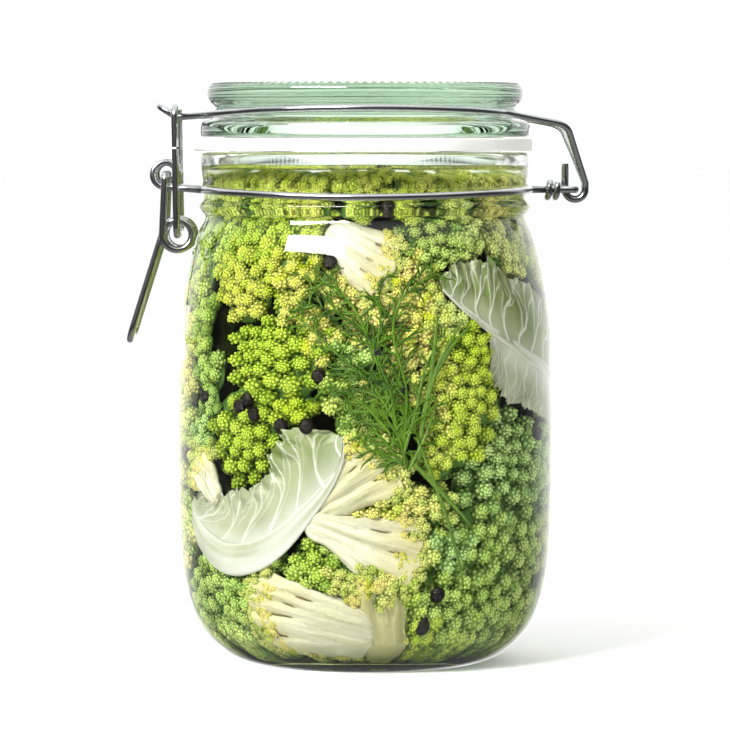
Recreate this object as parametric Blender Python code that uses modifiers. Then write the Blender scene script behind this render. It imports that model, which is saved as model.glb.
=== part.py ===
"""A clip top jar, shut and full of pickled romanesco, built in metres with +Z up.

The jar stands on z = 0 with its axis on the Z axis. The wire clip is at -X and the wire hinge at +X, so both
swing about axes that run along Y.
"""

import math
import random

import bmesh
import bpy
from mathutils import Matrix, Vector, noise

MM = 0.001

# Glass jar
BODY_R = 55.0
BASE_FLAT_R = 34.5
WALL = 3.7
FLOOR_Z = 4.6
SHOULDER_Z = 125.3
BEAD_R = 48.95
BEAD_Z = 133.7
NECK_R = 47.4
COLLAR_R = 48.5
RIM_Z = 149.7
MOUTH_R = 42.2
TURN_STEPS = 40

# Rubber ring
GASKET_R = 49.15
GASKET_HOLE_R = 41.3
GASKET_Z = (149.95, 153.75)
GASKET_TAB_R = 50.4
GASKET_TAB_WIDTH = 13.0

# Glass lid
LID_Z = 154.0
LID_TOP_Z = 170.0
FLANGE_R = 48.5
WAIST_R = 44.2
DISC_R = 46.5
SPIGOT_R = 40.3
SPIGOT_Z = 145.3
LID_HOLLOW_R = 33.6
LID_HOLLOW_Z = 158.0

# Wire closure
WIRE_R = 1.05
TURN_PITCH = 2.35
NECK_WIRE_R = 48.65
NECK_WIRE_FRONT_Z = 136.95
HINGE = (61.7, 138.8)
HINGE_STRAND_Y = 3.8
HINGE_LOOP_CORNER = 1.75
EYE = (-58.2, 143.2)
EYE_R = 3.55
EYE_Y = 10.8
EYE_TURNS = 1.8
BINDING_X = 56.4
BINDING_HALF = (6.1, 2.4)
BINDING_R = 0.95
BINDING_TURNS = 1.3

LID_WIRE_R = 45.45
LID_WIRE_FRONT_Z = 162.3
LID_WIRE_SIDE_Z = 160.8
ARM_Y = 20.4
ARM_TOP = (58.4, 157.7)
HOOK_R = 2.95
HOOK_Y = 1.4
STUB_Z = (146.4, 145.6)
NOSE_Y = 4.7
NOSE_DIP = (-55.3, 160.0)
NOSE_TIP = (-60.3, 163.2)

COIL = (-54.7, 125.6)
COIL_R = 4.3
COIL_TURNS = 2
LEVER_Y = 13.25
PIN_END_Y = 6.3
HANDLE_TIP = (-68.8, 95.0)
HANDLE_KNEE = (-67.1, 100.6)

LINK_Y = 15.7
LINK_TOP = (-55.3, 163.0)
LINK_CORNER = 3.0
LINK_SEAM_Z = 150.9
LINK_SEAM_GAP = 0.5

# Contents
CONTENTS_R = 50.7
CORE_R = 43.5
CONTENTS_TOP_Z = 142.0
SEED = 11


def clear_scene():
    for obj in list(bpy.data.objects):
        bpy.data.objects.remove(obj, do_unlink=True)


def collection(name, shown=True):
    made = bpy.data.collections.new(name)
    bpy.context.scene.collection.children.link(made)
    made.hide_render = not shown
    return made


def material(name, colour, roughness, metallic=0.0, transmission=0.0):
    made = bpy.data.materials.new(name)
    made.use_nodes = True
    shader = made.node_tree.nodes["Principled BSDF"]
    shader.inputs["Base Color"].default_value = (*colour, 1.0)
    shader.inputs["Roughness"].default_value = roughness
    shader.inputs["Metallic"].default_value = metallic
    shader.inputs["Transmission Weight"].default_value = transmission
    return made


def steel():
    return bpy.data.materials.get("steel_wire") or material("steel_wire", (0.62, 0.62, 0.62), 0.25, 1.0)


def link_object(name, data, group, mat):
    obj = bpy.data.objects.new(name, data)
    group.objects.link(obj)
    data.materials.append(mat)
    return obj


def apply_modifiers(obj):
    """Replaces the object's mesh by its evaluated one and drops its modifiers."""
    graph = bpy.context.evaluated_depsgraph_get()
    mesh = bpy.data.meshes.new_from_object(obj.evaluated_get(graph))
    obj.modifiers.clear()
    obj.data = mesh
    return obj


def turned(name, profile, group, mat, steps=TURN_STEPS):
    """A solid of revolution. The profile in millimetres starts and ends on the axis or on itself, and runs
    down its outer side from top to bottom."""
    mesh = bpy.data.meshes.new(name)
    points = [(r * MM, 0.0, z * MM) for r, z in profile]
    closed = profile[0] == profile[-1]
    if closed:
        points.pop()
    edges = [(i, i + 1) for i in range(len(points) - 1)]
    if closed:
        edges.append((len(points) - 1, 0))
    mesh.from_pydata(points, edges, [])
    obj = link_object(name, mesh, group, mat)
    screw = obj.modifiers.new("turn", "SCREW")
    screw.steps = steps
    screw.render_steps = steps
    screw.use_merge_vertices = True
    screw.merge_threshold = 0.00001
    screw.use_smooth_shade = False
    return apply_modifiers(obj)


def rounded(path, radii, steps=4):
    """The 3D path with each inner corner replaced by an arc of the given radius, where that is not zero."""
    found = [path[0]]
    for before, corner, after, radius in zip(path, path[1:], path[2:], radii):
        if not radius:
            found.append(corner)
            continue
        u = (before - corner).normalized()
        v = (after - corner).normalized()
        half = u.angle(v) / 2
        reach = radius / math.tan(half)
        centre = corner + (u + v).normalized() * (radius / math.sin(half))
        a = corner + u * reach - centre
        sweep = math.pi - 2 * half
        across = -u * radius
        for i in range(steps + 1):
            t = sweep * i / steps
            found.append(centre + a * math.cos(t) + across * math.sin(t))
    found.append(path[-1])
    return found


def helix(centre, radius, y_start, y_end, start, end, per_turn=12):
    """A coil about an axis along Y. Angles in degrees, from +X towards +Z."""
    count = max(4, round(abs(end - start) / 360 * per_turn))
    found = []
    for i in range(count + 1):
        t = i / count
        a = math.radians(start + (end - start) * t)
        y = y_start + (y_end - y_start) * t
        found.append(Vector((centre[0] + radius * math.cos(a), y, centre[1] + radius * math.sin(a))))
    return found


def wire(name, path, group, radius=WIRE_R):
    """A bent round wire along a path in millimetres, with flat cut ends."""
    curve = bpy.data.curves.new(name, "CURVE")
    curve.dimensions = "3D"
    curve.bevel_depth = radius * MM
    curve.bevel_resolution = 2
    curve.fill_mode = "FULL"
    curve.use_fill_caps = True
    spline = curve.splines.new("POLY")
    spline.points.add(len(path) - 1)
    for point, place in zip(spline.points, path):
        point.co = (*(place * MM), 1.0)
    return link_object(name, curve, group, steel())


def mirrored(path):
    return [Vector((p.x, -p.y, p.z)) for p in reversed(path)]


def make_jar(group):
    glass = material("jar_glass", (0.93, 0.98, 0.94), 0.03, transmission=1.0)
    outside = [
        (MOUTH_R + 0.8, RIM_Z),
        (COLLAR_R - 1.6, RIM_Z),
        (COLLAR_R - 0.4, RIM_Z - 0.5),
        (COLLAR_R, RIM_Z - 1.7),
        (COLLAR_R - 0.5, 142.3),
        (NECK_R + 0.4, 139.9),
        (NECK_R, 139.2),
        (NECK_R, 135.6),
        (BEAD_R - 0.4, 134.9),
        (BEAD_R, BEAD_Z),
        (BEAD_R - 0.8, 132.3),
        (47.0, 131.2),
        (47.4, 129.6),
        (49.4, SHOULDER_Z),
        (51.5, 118.0),
        (53.7, 106.2),
        (BODY_R, 93.0),
        (BODY_R, 48.0),
        (54.2, 30.0),
        (51.8, 18.0),
        (49.4, 12.2),
        (46.5, 8.0),
        (43.0, 4.6),
        (39.0, 1.8),
        (BASE_FLAT_R, 0.3),
        (BASE_FLAT_R - 1.5, 0.0),
        (0.0, 0.0),
    ]
    inside = [
        (0.0, FLOOR_Z + 1.4),
        (20.0, FLOOR_Z + 0.7),
        (33.0, FLOOR_Z),
        (38.5, FLOOR_Z + 1.8),
        (43.5, 10.5),
        (47.2, 16.5),
        (50.0, 26.0),
        (BODY_R - WALL, 48.0),
        (BODY_R - WALL, 93.0),
        (49.9, 106.2),
        (47.6, 118.0),
        (45.3, SHOULDER_Z),
        (43.0, 131.0),
        (MOUTH_R, 134.8),
        (MOUTH_R, RIM_Z - 1.0),
    ]
    return turned("jar_glass", inside + outside, group, glass)


def make_lid(group):
    glass = material("lid_glass", (0.80, 0.95, 0.87), 0.03, transmission=1.0)
    profile = [
        (0.0, LID_TOP_Z - 1.2),
        (DISC_R - 5.0, LID_TOP_Z - 0.8),
        (DISC_R - 2.6, LID_TOP_Z),
        (DISC_R - 0.8, LID_TOP_Z - 0.5),
        (DISC_R, LID_TOP_Z - 2.0),
        (DISC_R, LID_TOP_Z - 4.6),
        (DISC_R - 0.9, LID_TOP_Z - 6.0),
        (WAIST_R, LID_TOP_Z - 6.6),
        (WAIST_R, 159.6),
        (FLANGE_R - 1.2, 158.9),
        (FLANGE_R, 157.8),
        (FLANGE_R, LID_Z + 0.7),
        (FLANGE_R - 0.6, LID_Z),
        (SPIGOT_R + 0.6, LID_Z),
        (SPIGOT_R, LID_Z - 0.8),
        (SPIGOT_R - 1.2, SPIGOT_Z + 0.6),
        (SPIGOT_R - 2.4, SPIGOT_Z),
        (LID_HOLLOW_R + 1.8, SPIGOT_Z + 0.4),
        (LID_HOLLOW_R, SPIGOT_Z + 3.0),
        (LID_HOLLOW_R - 4.5, LID_HOLLOW_Z - 1.5),
        (LID_HOLLOW_R - 9.0, LID_HOLLOW_Z),
        (0.0, LID_HOLLOW_Z + 1.0),
    ]
    return turned("lid_glass", profile, group, glass)


def make_gasket(group):
    rubber = material("gasket_rubber", (0.86, 0.86, 0.83), 0.55)
    low, high = GASKET_Z
    profile = [
        (GASKET_R - 0.5, high),
        (GASKET_R, high - 0.5),
        (GASKET_R, low + 0.5),
        (GASKET_R - 0.5, low),
        (GASKET_HOLE_R, low),
        (GASKET_HOLE_R, high),
        (GASKET_R - 0.5, high),
    ]
    ring = turned("gasket", profile, group, rubber)
    for vertex in ring.data.vertices:
        x, y = vertex.co.x / MM, vertex.co.y / MM
        if x < 0 and math.hypot(x, y) > GASKET_R - 1.0:
            bulge = math.exp(-((y / (GASKET_TAB_WIDTH / 2)) ** 4))
            vertex.co.x -= (GASKET_TAB_R - GASKET_R) * bulge * MM
    return ring


def neck_wire_z(x):
    return NECK_WIRE_FRONT_Z + (HINGE[1] - NECK_WIRE_FRONT_Z) * min(1.0, (x / NECK_WIRE_R) ** 2)


def make_neck_wire(group):
    """One wire round the neck. Its ends are wound into the clip's two eyes, and its middle is the hinge's loop."""
    y_in = EYE_Y - TURN_PITCH * EYE_TURNS
    eye = helix(EYE, EYE_R, -EYE_Y, -y_in, 270.0, 270.0 - 360.0 * EYE_TURNS)
    front = list(reversed(eye))
    first = math.degrees(math.asin(EYE_Y / NECK_WIRE_R))
    last = math.degrees(math.asin(HINGE_STRAND_Y / NECK_WIRE_R))
    count = 22
    for i in range(count + 1):
        a = math.radians(180.0 + first + (180.0 - first - last) * i / count)
        x = NECK_WIRE_R * math.cos(a)
        front.append(Vector((x, NECK_WIRE_R * math.sin(a), neck_wire_z(x))))
    out = Vector((HINGE[0], -HINGE_STRAND_Y, HINGE[1]))
    back = Vector((HINGE[0], HINGE_STRAND_Y, HINGE[1]))
    start = front.pop()
    loop = rounded([start, out, back, Vector((start.x, -start.y, start.z))], [HINGE_LOOP_CORNER] * 2)
    return wire("neck_wire", front + loop + mirrored(front), group)


def make_binding_ring(group):
    """A short wire wound round the hinge loop's two strands, which holds them together."""
    path = []
    count = round(14 * BINDING_TURNS)
    for i in range(count + 1):
        t = i / count
        a = math.radians(150.0 + 360.0 * BINDING_TURNS * t)
        shift = -TURN_PITCH * BINDING_TURNS * t
        y = BINDING_HALF[0] * math.copysign(abs(math.cos(a)) ** 0.6, math.cos(a))
        z = HINGE[1] + BINDING_HALF[1] * math.copysign(abs(math.sin(a)) ** 0.6, math.sin(a))
        path.append(Vector((BINDING_X + shift, y, z)))
    return wire("binding_ring", path, group, BINDING_R)


def lid_wire_z(x):
    return LID_WIRE_FRONT_Z + (LID_WIRE_SIDE_Z - LID_WIRE_FRONT_Z) * min(1.0, (x / LID_WIRE_R) ** 2)


def hook(side, stub_z):
    """The bent end of a hinge arm: round under the loop's crossbar and up again."""
    found = []
    steps = 8
    for i in range(steps + 1):
        a = math.radians(-180.0 * i / steps)
        x = HINGE[0] + HOOK_R * math.cos(a)
        z = HINGE[1] + HOOK_R * math.sin(a)
        found.append(Vector((x, side * HOOK_Y, z)))
    found.append(Vector((HINGE[0] - HOOK_R, side * HOOK_Y, stub_z)))
    return found


def half_lid_wire(side, stub_z):
    """From the hook, up the arm, round one half of the waist to the middle of the nose's tip."""
    path = list(reversed(hook(side, stub_z)))
    low = path.pop()
    arm_start_x = math.sqrt(LID_WIRE_R**2 - ARM_Y**2)
    arm_start = Vector((arm_start_x, side * ARM_Y, lid_wire_z(arm_start_x)))
    top = Vector((ARM_TOP[0], side * ARM_Y, ARM_TOP[1]))
    low_out = low + Vector((0.0, side * 0.4, 2.0))
    path += rounded([low, low_out, top, arm_start], [0, 5.0], 5)[:-1]
    strand_start = Vector((NOSE_DIP[0] + 2.5, side * (NOSE_Y + 1.2), 0.0))
    bearing = math.degrees(math.atan2(strand_start.y * side, strand_start.x))
    away = math.degrees(math.acos(LID_WIRE_R / strand_start.length))
    last = bearing - away
    first = math.degrees(math.asin(ARM_Y / LID_WIRE_R))
    count = 14
    for i in range(count + 1):
        a = math.radians(first + (last - first) * i / count)
        x = LID_WIRE_R * math.cos(a)
        path.append(Vector((x, side * LID_WIRE_R * math.sin(a), lid_wire_z(x))))
    dip = Vector((NOSE_DIP[0], side * NOSE_Y, NOSE_DIP[1]))
    near_dip = Vector((NOSE_DIP[0] + 3.4, side * (NOSE_Y + 1.1), NOSE_DIP[1] + 0.25))
    tip_corner = Vector((NOSE_TIP[0], side * NOSE_Y, NOSE_TIP[1]))
    middle = Vector((NOSE_TIP[0], 0.0, NOSE_TIP[1]))
    path += rounded([near_dip, dip, tip_corner, middle], [2.0, 3.6], 4)[:-1]
    return path


def make_lid_wire(group):
    """One wire round the lid's waist. Its middle is the nose the clip pulls down, its ends hook on the hinge."""
    front = half_lid_wire(-1, STUB_Z[0])
    back = half_lid_wire(1, STUB_Z[1])
    tip = [Vector((NOSE_TIP[0], 0.0, NOSE_TIP[1]))]
    return wire("lid_wire", front + tip + list(reversed(back)), group)


def make_lever(group):
    """One wire: a pin in each eye, an arm down to each coil, and a bowed handle between the coils."""
    top = Vector((EYE[0], -LEVER_Y, EYE[1]))
    pin = Vector((EYE[0], -PIN_END_Y, EYE[1]))
    coil_left = Vector((COIL[0] - COIL_R, -LEVER_Y, COIL[1]))
    down = rounded([pin, top, coil_left], [1.6])
    handle = Vector((HANDLE_KNEE[0] - COIL[0], 0.0, HANDLE_KNEE[1] - COIL[1]))
    reach = handle.length
    bearing = math.degrees(math.atan2(handle.z, handle.x))
    leave = bearing - math.degrees(math.acos(COIL_R / reach)) + 360.0
    sweep = 360.0 * COIL_TURNS + leave - 540.0
    y_in = LEVER_Y - TURN_PITCH * sweep / 360.0
    coil = helix(COIL, COIL_R, -LEVER_Y, -y_in, 180.0, 180.0 + sweep)
    knee = Vector((HANDLE_KNEE[0], -y_in, HANDLE_KNEE[1]))
    corner = Vector((HANDLE_TIP[0], -y_in, HANDLE_TIP[1]))
    centre = Vector((HANDLE_TIP[0], 0.0, HANDLE_TIP[1]))
    grip = rounded([coil[-1], knee, corner, centre], [9.0, 4.5], 4)
    half = down[:-1] + coil + grip[1:-1]
    return wire("lever", half + [centre] + mirrored(half), group)


def make_link(group):
    """A long ring that runs through both coils and over the nose, with its cut ends meeting in the front leg."""
    top = [Vector((LINK_TOP[0], side * LINK_Y, LINK_TOP[1])) for side in (-1, 1)]
    low = [Vector((COIL[0], side * LINK_Y, COIL[1])) for side in (-1, 1)]
    lean = (LINK_TOP[0] - COIL[0]) / (LINK_TOP[1] - COIL[1])
    seam = []
    for z in (LINK_SEAM_Z + LINK_SEAM_GAP / 2, LINK_SEAM_Z - LINK_SEAM_GAP / 2):
        seam.append(Vector((COIL[0] + lean * (z - COIL[1]), -LINK_Y, z)))
    path = rounded([seam[0], top[0], top[1], low[1], low[0], seam[1]], [LINK_CORNER] * 4)
    return wire("link", path, group)


def contents_radius(z):
    """How far out the contents reach at a height, just inside the glass."""
    marks = [(6.5, 33.5), (10.5, 42.6), (16.5, 46.4), (26.0, 49.2), (48.0, CONTENTS_R), (93.0, CONTENTS_R)]
    marks += [(106.2, 49.2), (118.0, 46.9), (125.3, 44.6), (131.0, 42.2), (134.8, 41.5), (146.0, 41.5)]
    for (z0, r0), (z1, r1) in zip(marks, marks[1:]):
        if z <= z1:
            return r0 + (r1 - r0) * max(0.0, z - z0) / (z1 - z0)
    return marks[-1][1]


def seat(azimuth, z, depth):
    """A point under the contents' outside, and the direction outwards there. Azimuth 0 faces -Y."""
    a = math.radians(azimuth)
    out = Vector((math.sin(a), -math.cos(a), 0.0))
    return out * (contents_radius(z) - depth) + Vector((0.0, 0.0, z)), out


def bumpy(mesh, centre, amount, scale):
    for vertex in mesh.verts:
        offset = vertex.co - centre
        vertex.co += offset.normalized() * amount * noise.noise(vertex.co * scale)


def keep_inside(mesh):
    """Draws every vertex in to the space inside the glass."""
    for vertex in mesh.verts:
        vertex.co.z = min(max(vertex.co.z, FLOOR_Z + 2.1), CONTENTS_TOP_Z + 2.2)
        limit = contents_radius(vertex.co.z)
        flat = math.hypot(vertex.co.x, vertex.co.y)
        if flat > limit:
            vertex.co.x *= limit / flat
            vertex.co.y *= limit / flat


def blob(name, group, build):
    """An object in the contents' working collection, from a function that fills a bmesh in millimetres."""
    mesh = bmesh.new()
    build(mesh)
    keep_inside(mesh)
    bmesh.ops.triangulate(mesh, faces=mesh.faces[:])
    bmesh.ops.recalc_face_normals(mesh, faces=mesh.faces[:])
    bmesh.ops.scale(mesh, vec=(MM, MM, MM), verts=mesh.verts[:])
    data = bpy.data.meshes.new(name)
    mesh.to_mesh(data)
    mesh.free()
    obj = bpy.data.objects.new(name, data)
    group.objects.link(obj)
    return obj


def core(mesh):
    """The packed middle of the jar, which the visible pieces are fused to."""
    heights = [9.0, 30.0, 60.0, 95.0, 118.0, CONTENTS_TOP_Z - 4.0]
    sides = 20
    rings = []
    for z in heights:
        radius = min(CORE_R, contents_radius(z) - 3.5)
        ring = []
        for i in range(sides):
            a = 2 * math.pi * i / sides
            ring.append(mesh.verts.new((radius * math.cos(a), radius * math.sin(a), z)))
        rings.append(ring)
    for low, high in zip(rings, rings[1:]):
        for i in range(sides):
            j = (i + 1) % sides
            mesh.faces.new((low[i], low[j], high[j], high[i]))
    mesh.faces.new(list(reversed(rings[0])))
    mesh.faces.new(rings[-1])


def floret(azimuth, z, size, tilt=0.0):
    """A head seen from outside: a low dome with a blunt spiral peak, leaning by tilt degrees."""

    def build(mesh):
        place, out = seat(azimuth, z, size * 0.55)
        made = bmesh.ops.create_icosphere(mesh, subdivisions=2, radius=size)["verts"]
        turn = out.to_track_quat("Z", "Y").to_matrix().to_4x4()
        lean = Matrix.Rotation(math.radians(tilt), 4, "Y")
        for vertex in made:
            peak = max(0.0, vertex.co.z / size)
            vertex.co *= 0.86 + 0.2 * peak**3
        bmesh.ops.transform(mesh, matrix=Matrix.Translation(place) @ turn @ lean, verts=made)
        bumpy(mesh, place, 2.2, 0.24)

    return build


def stalk(azimuth, z, length, width, angle):
    """A cut stalk lying against the glass, turned by angle from upright."""

    def build(mesh):
        place, out = seat(azimuth, z, width * 0.6)
        made = bmesh.ops.create_cone(
            mesh, cap_ends=True, segments=8, radius1=width * 0.45, radius2=width * 0.75, depth=length
        )["verts"]
        lean = Matrix.Rotation(math.radians(angle), 4, out)
        bmesh.ops.transform(mesh, matrix=Matrix.Translation(place) @ lean, verts=made)

    return build


def peppercorn(azimuth, z):
    def build(mesh):
        place, _ = seat(azimuth, z, 1.6)
        made = bmesh.ops.create_icosphere(mesh, subdivisions=1, radius=2.1)["verts"]
        bmesh.ops.transform(mesh, matrix=Matrix.Translation(place), verts=made)

    return build


def leaf(start, bend, end, width, thick, depth):
    """A thin wavy leaf along a bow of three (azimuth, z) marks. Both faces are split into triangles alike."""

    def build(mesh):
        along, across = 9, 3
        faces = []
        for side in (0, 1):
            rows = []
            for i in range(along + 1):
                t = i / along
                azimuth = start[0] * (1 - t) ** 2 + 2 * bend[0] * t * (1 - t) + end[0] * t**2
                z = start[1] * (1 - t) ** 2 + 2 * bend[1] * t * (1 - t) + end[1] * t**2
                half = width * (0.35 + 0.65 * math.sin(math.pi * min(1.0, 0.12 + 0.86 * t)))
                row = []
                for j in range(across + 1):
                    s = j / across
                    wave = 1.1 * math.sin(7.0 * t + 5.0 * s)
                    inset = depth + side * thick + wave + 5.0 * s * s
                    place, _ = seat(azimuth + 0.45 * half * s, z + half * s, inset)
                    row.append(mesh.verts.new(place))
                rows.append(row)
            faces.append(rows)
        front, back = faces
        for i in range(along):
            for j in range(across):
                for rows, turn in ((front, False), (back, True)):
                    corners = [rows[i][j], rows[i + 1][j], rows[i + 1][j + 1], rows[i][j + 1]]
                    for three in (corners[:3], [corners[0], corners[2], corners[3]]):
                        mesh.faces.new(reversed(three) if turn else three)
        rim = [(i, 0) for i in range(along)] + [(along, j) for j in range(across)]
        rim += [(i, across) for i in range(along, 0, -1)] + [(0, j) for j in range(across, 0, -1)]
        for (i, j), (k, m) in zip(rim, rim[1:] + rim[:1]):
            mesh.faces.new((front[k][m], front[i][j], back[i][j], back[k][m]))

    return build


def dill(azimuth, z, length, angle):
    """One feathery stem lying against the glass, as a thin flattened spray."""

    def build(mesh):
        place, out = seat(azimuth, z, 1.8)
        made = bmesh.ops.create_cone(
            mesh, cap_ends=True, segments=6, radius1=0.7, radius2=1.6, depth=length
        )["verts"]
        lean = Matrix.Rotation(math.radians(angle), 4, out)
        bmesh.ops.transform(mesh, matrix=Matrix.Translation(place) @ lean, verts=made)

    return build


def front_pieces():
    """The pieces that face the front. Azimuth is in degrees from -Y towards +X, heights in millimetres."""
    heads = [
        (-28, 118, 15), (-26, 94, 13), (-56, 99, 11), (-30, 68, 13), (-62, 68, 10), (22, 85, 15),
        (50, 64, 19), (34, 24, 16), (-30, 24, 14), (15, 125, 10), (-2, 113, 12), (8, 54, 12), (4, 29, 12),
        (60, 122, 10), (-60, 126, 9), (62, 33, 12), (-64, 42, 12), (0, 136, 9), (-34, 138, 8), (36, 138, 8),
    ]
    peppers = [
        (-12, 118), (9, 133), (-15, 86), (-62, 79), (-44, 77), (-38, 75), (-28, 72), (-19, 72), (12, 83),
        (4, 93), (72, 68), (25, 24), (21, 15),
    ]
    stems = [(0, 93, 44, 20), (8, 89, 40, -30), (-8, 97, 34, 62), (14, 97, 34, -58), (25, 52, 40, -14), (27, 47, 40, 6)]
    pieces = [floret(a, z, size, 8.0 * (i % 3 - 1)) for i, (a, z, size) in enumerate(heads)]
    pieces += [peppercorn(a, z) for a, z in peppers]
    pieces += [dill(*stem) for stem in stems]
    pieces.append(stalk(-14, 22, 40, 12, 78))
    pieces.append(stalk(6, 46, 28, 10, 40))
    pieces.append(leaf((-74, 48), (-40, 25), (-8, 64), 19, 1.6, 1.2))
    pieces.append(leaf((72, 80), (58, 88), (28, 113), 17, 1.6, 1.4))
    return pieces


def hidden_pieces():
    """Heads round the back, in rings with a seeded unevenness."""
    draw = random.Random(SEED)
    pieces = []
    for row, z in enumerate((32, 86)):
        for i in range(3):
            azimuth = 118 + 60 * i + row * 8 + draw.uniform(-5, 5)
            pieces.append(floret(azimuth, z + draw.uniform(-5, 5), draw.uniform(23, 26), draw.uniform(-12, 12)))
    return pieces


def fill_cavities(obj):
    """Keeps the outer surface only, so that no space between the joined pieces is sealed in."""
    mesh = bmesh.new()
    mesh.from_mesh(obj.data)
    mesh.verts.ensure_lookup_table()
    islands = []
    seen = set()
    for seed in mesh.verts:
        if seed in seen:
            continue
        seen.add(seed)
        island = [seed]
        for vertex in island:
            for edge in vertex.link_edges:
                other = edge.other_vert(vertex)
                if other not in seen:
                    seen.add(other)
                    island.append(other)
        islands.append(island)
    islands.sort(key=len)
    inner = [vertex for island in islands[:-1] for vertex in island]
    bmesh.ops.delete(mesh, geom=inner, context="VERTS")
    mesh.to_mesh(obj.data)
    mesh.free()


def make_contents(group, work):
    """All that fills the jar, as one solid out to its uneven outline."""
    green = material("pickles", (0.45, 0.60, 0.12), 0.5)
    joined = bpy.data.collections.new("contents_pieces")
    work.children.link(joined)
    for i, build in enumerate(front_pieces() + hidden_pieces()):
        blob(f"piece_{i:02d}", joined, build)
    heap = blob("pickles", work, core)
    union = heap.modifiers.new("join", "BOOLEAN")
    union.operation = "UNION"
    union.operand_type = "COLLECTION"
    union.collection = joined
    union.solver = "MANIFOLD"
    apply_modifiers(heap)
    fill_cavities(heap)
    for obj in list(joined.objects):
        bpy.data.objects.remove(obj, do_unlink=True)
    work.objects.unlink(heap)
    group.objects.link(heap)
    heap.data.materials.clear()
    heap.data.materials.append(green)
    return heap


def main():
    clear_scene()
    jar = collection("clip_top_jar")
    work = collection("work", shown=False)
    make_jar(jar)
    make_lid(jar)
    make_gasket(jar)
    make_neck_wire(jar)
    make_binding_ring(jar)
    make_lid_wire(jar)
    make_lever(jar)
    make_link(jar)
    make_contents(jar, work)


main()
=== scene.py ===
# %% [markdown]
# # A clip top jar of pickled romanesco
# A clip top jar is a glass jar with a glass lid, a rubber ring between them and a closure of bent steel
# wire. This one is shut and packed with romanesco, cut cauliflower, leaves, dill and peppercorns under
# brine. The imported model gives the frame: every piece below is built in metres in that frame, and each one
# rides on the body of the solid that it stands for, so the lid still swings and the clip still opens.

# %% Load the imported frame
import math
import random

import bmesh
import bpy
import numpy as np
from mathutils import Matrix, Vector, noise


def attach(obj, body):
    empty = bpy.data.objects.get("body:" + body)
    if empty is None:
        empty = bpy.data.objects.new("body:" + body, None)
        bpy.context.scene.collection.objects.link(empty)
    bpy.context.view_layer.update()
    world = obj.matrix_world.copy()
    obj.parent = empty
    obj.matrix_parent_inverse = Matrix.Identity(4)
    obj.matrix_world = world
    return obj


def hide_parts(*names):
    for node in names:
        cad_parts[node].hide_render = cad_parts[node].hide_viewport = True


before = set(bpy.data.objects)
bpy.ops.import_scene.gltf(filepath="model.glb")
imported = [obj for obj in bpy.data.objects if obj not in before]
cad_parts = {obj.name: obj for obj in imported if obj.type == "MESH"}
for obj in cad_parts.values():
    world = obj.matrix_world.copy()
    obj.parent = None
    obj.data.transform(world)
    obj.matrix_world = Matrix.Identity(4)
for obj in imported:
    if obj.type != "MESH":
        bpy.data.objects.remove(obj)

MM = 0.001
scene = bpy.context.scene
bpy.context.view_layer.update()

# %% [markdown]
# ## Small tools for nodes
# Materials and growing rules are both node trees. They could be clicked together in the editor, but in a
# script each node is one call: its kind, its settings and what goes into its sockets. A socket that is given
# another node's output is linked to it, and any other value is simply set.

# %% Helpers that make nodes and groups
def add(tree, kind, sockets=None, **settings):
    """A new node, with its settings, and its input sockets set or linked."""
    made = tree.nodes.new(kind)
    for key, value in settings.items():
        setattr(made, key, value)
    for key, value in (sockets or {}).items():
        if isinstance(value, bpy.types.NodeSocket):
            tree.links.new(value, made.inputs[key])
        else:
            made.inputs[key].default_value = value
    return made


def maths(tree, operation, *values):
    """The result of one sum on numbers or sockets."""
    return add(tree, "ShaderNodeMath", dict(enumerate(values)), operation=operation).outputs[0]


def new_group(name, kind, inputs, outputs):
    """An empty node group with named sockets. An input is (kind of socket, first value)."""
    tree = bpy.data.node_groups.new(name, kind)
    for label, (sort, value) in inputs.items():
        socket = tree.interface.new_socket(label, in_out="INPUT", socket_type="NodeSocket" + sort)
        if value is not None:
            socket.default_value = value
    for label, sort in outputs.items():
        tree.interface.new_socket(label, in_out="OUTPUT", socket_type="NodeSocket" + sort)
    return tree, tree.nodes.new("NodeGroupInput").outputs, tree.nodes.new("NodeGroupOutput").inputs


def paint(red, green, blue):
    """A colour picked on a screen, 0 to 255, as the linear numbers that shaders take."""
    parts = [c / 255 for c in (red, green, blue)]
    return tuple(c / 12.92 if c <= 0.04045 else ((c + 0.055) / 1.055) ** 2.4 for c in parts) + (1.0,)


print("a mid green", [round(c, 3) for c in paint(150, 190, 30)])

# %% [markdown]
# ## Mottling, a shared effect
# Nothing that grew has one even colour: cells are paler here and darker there, in patches and in specks. A
# texture could be drawn by hand for each vegetable. One node group does it for all of them instead: two
# noises of different scale shift a colour between a dark and a light one, and also raise the surface a
# little.

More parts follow.
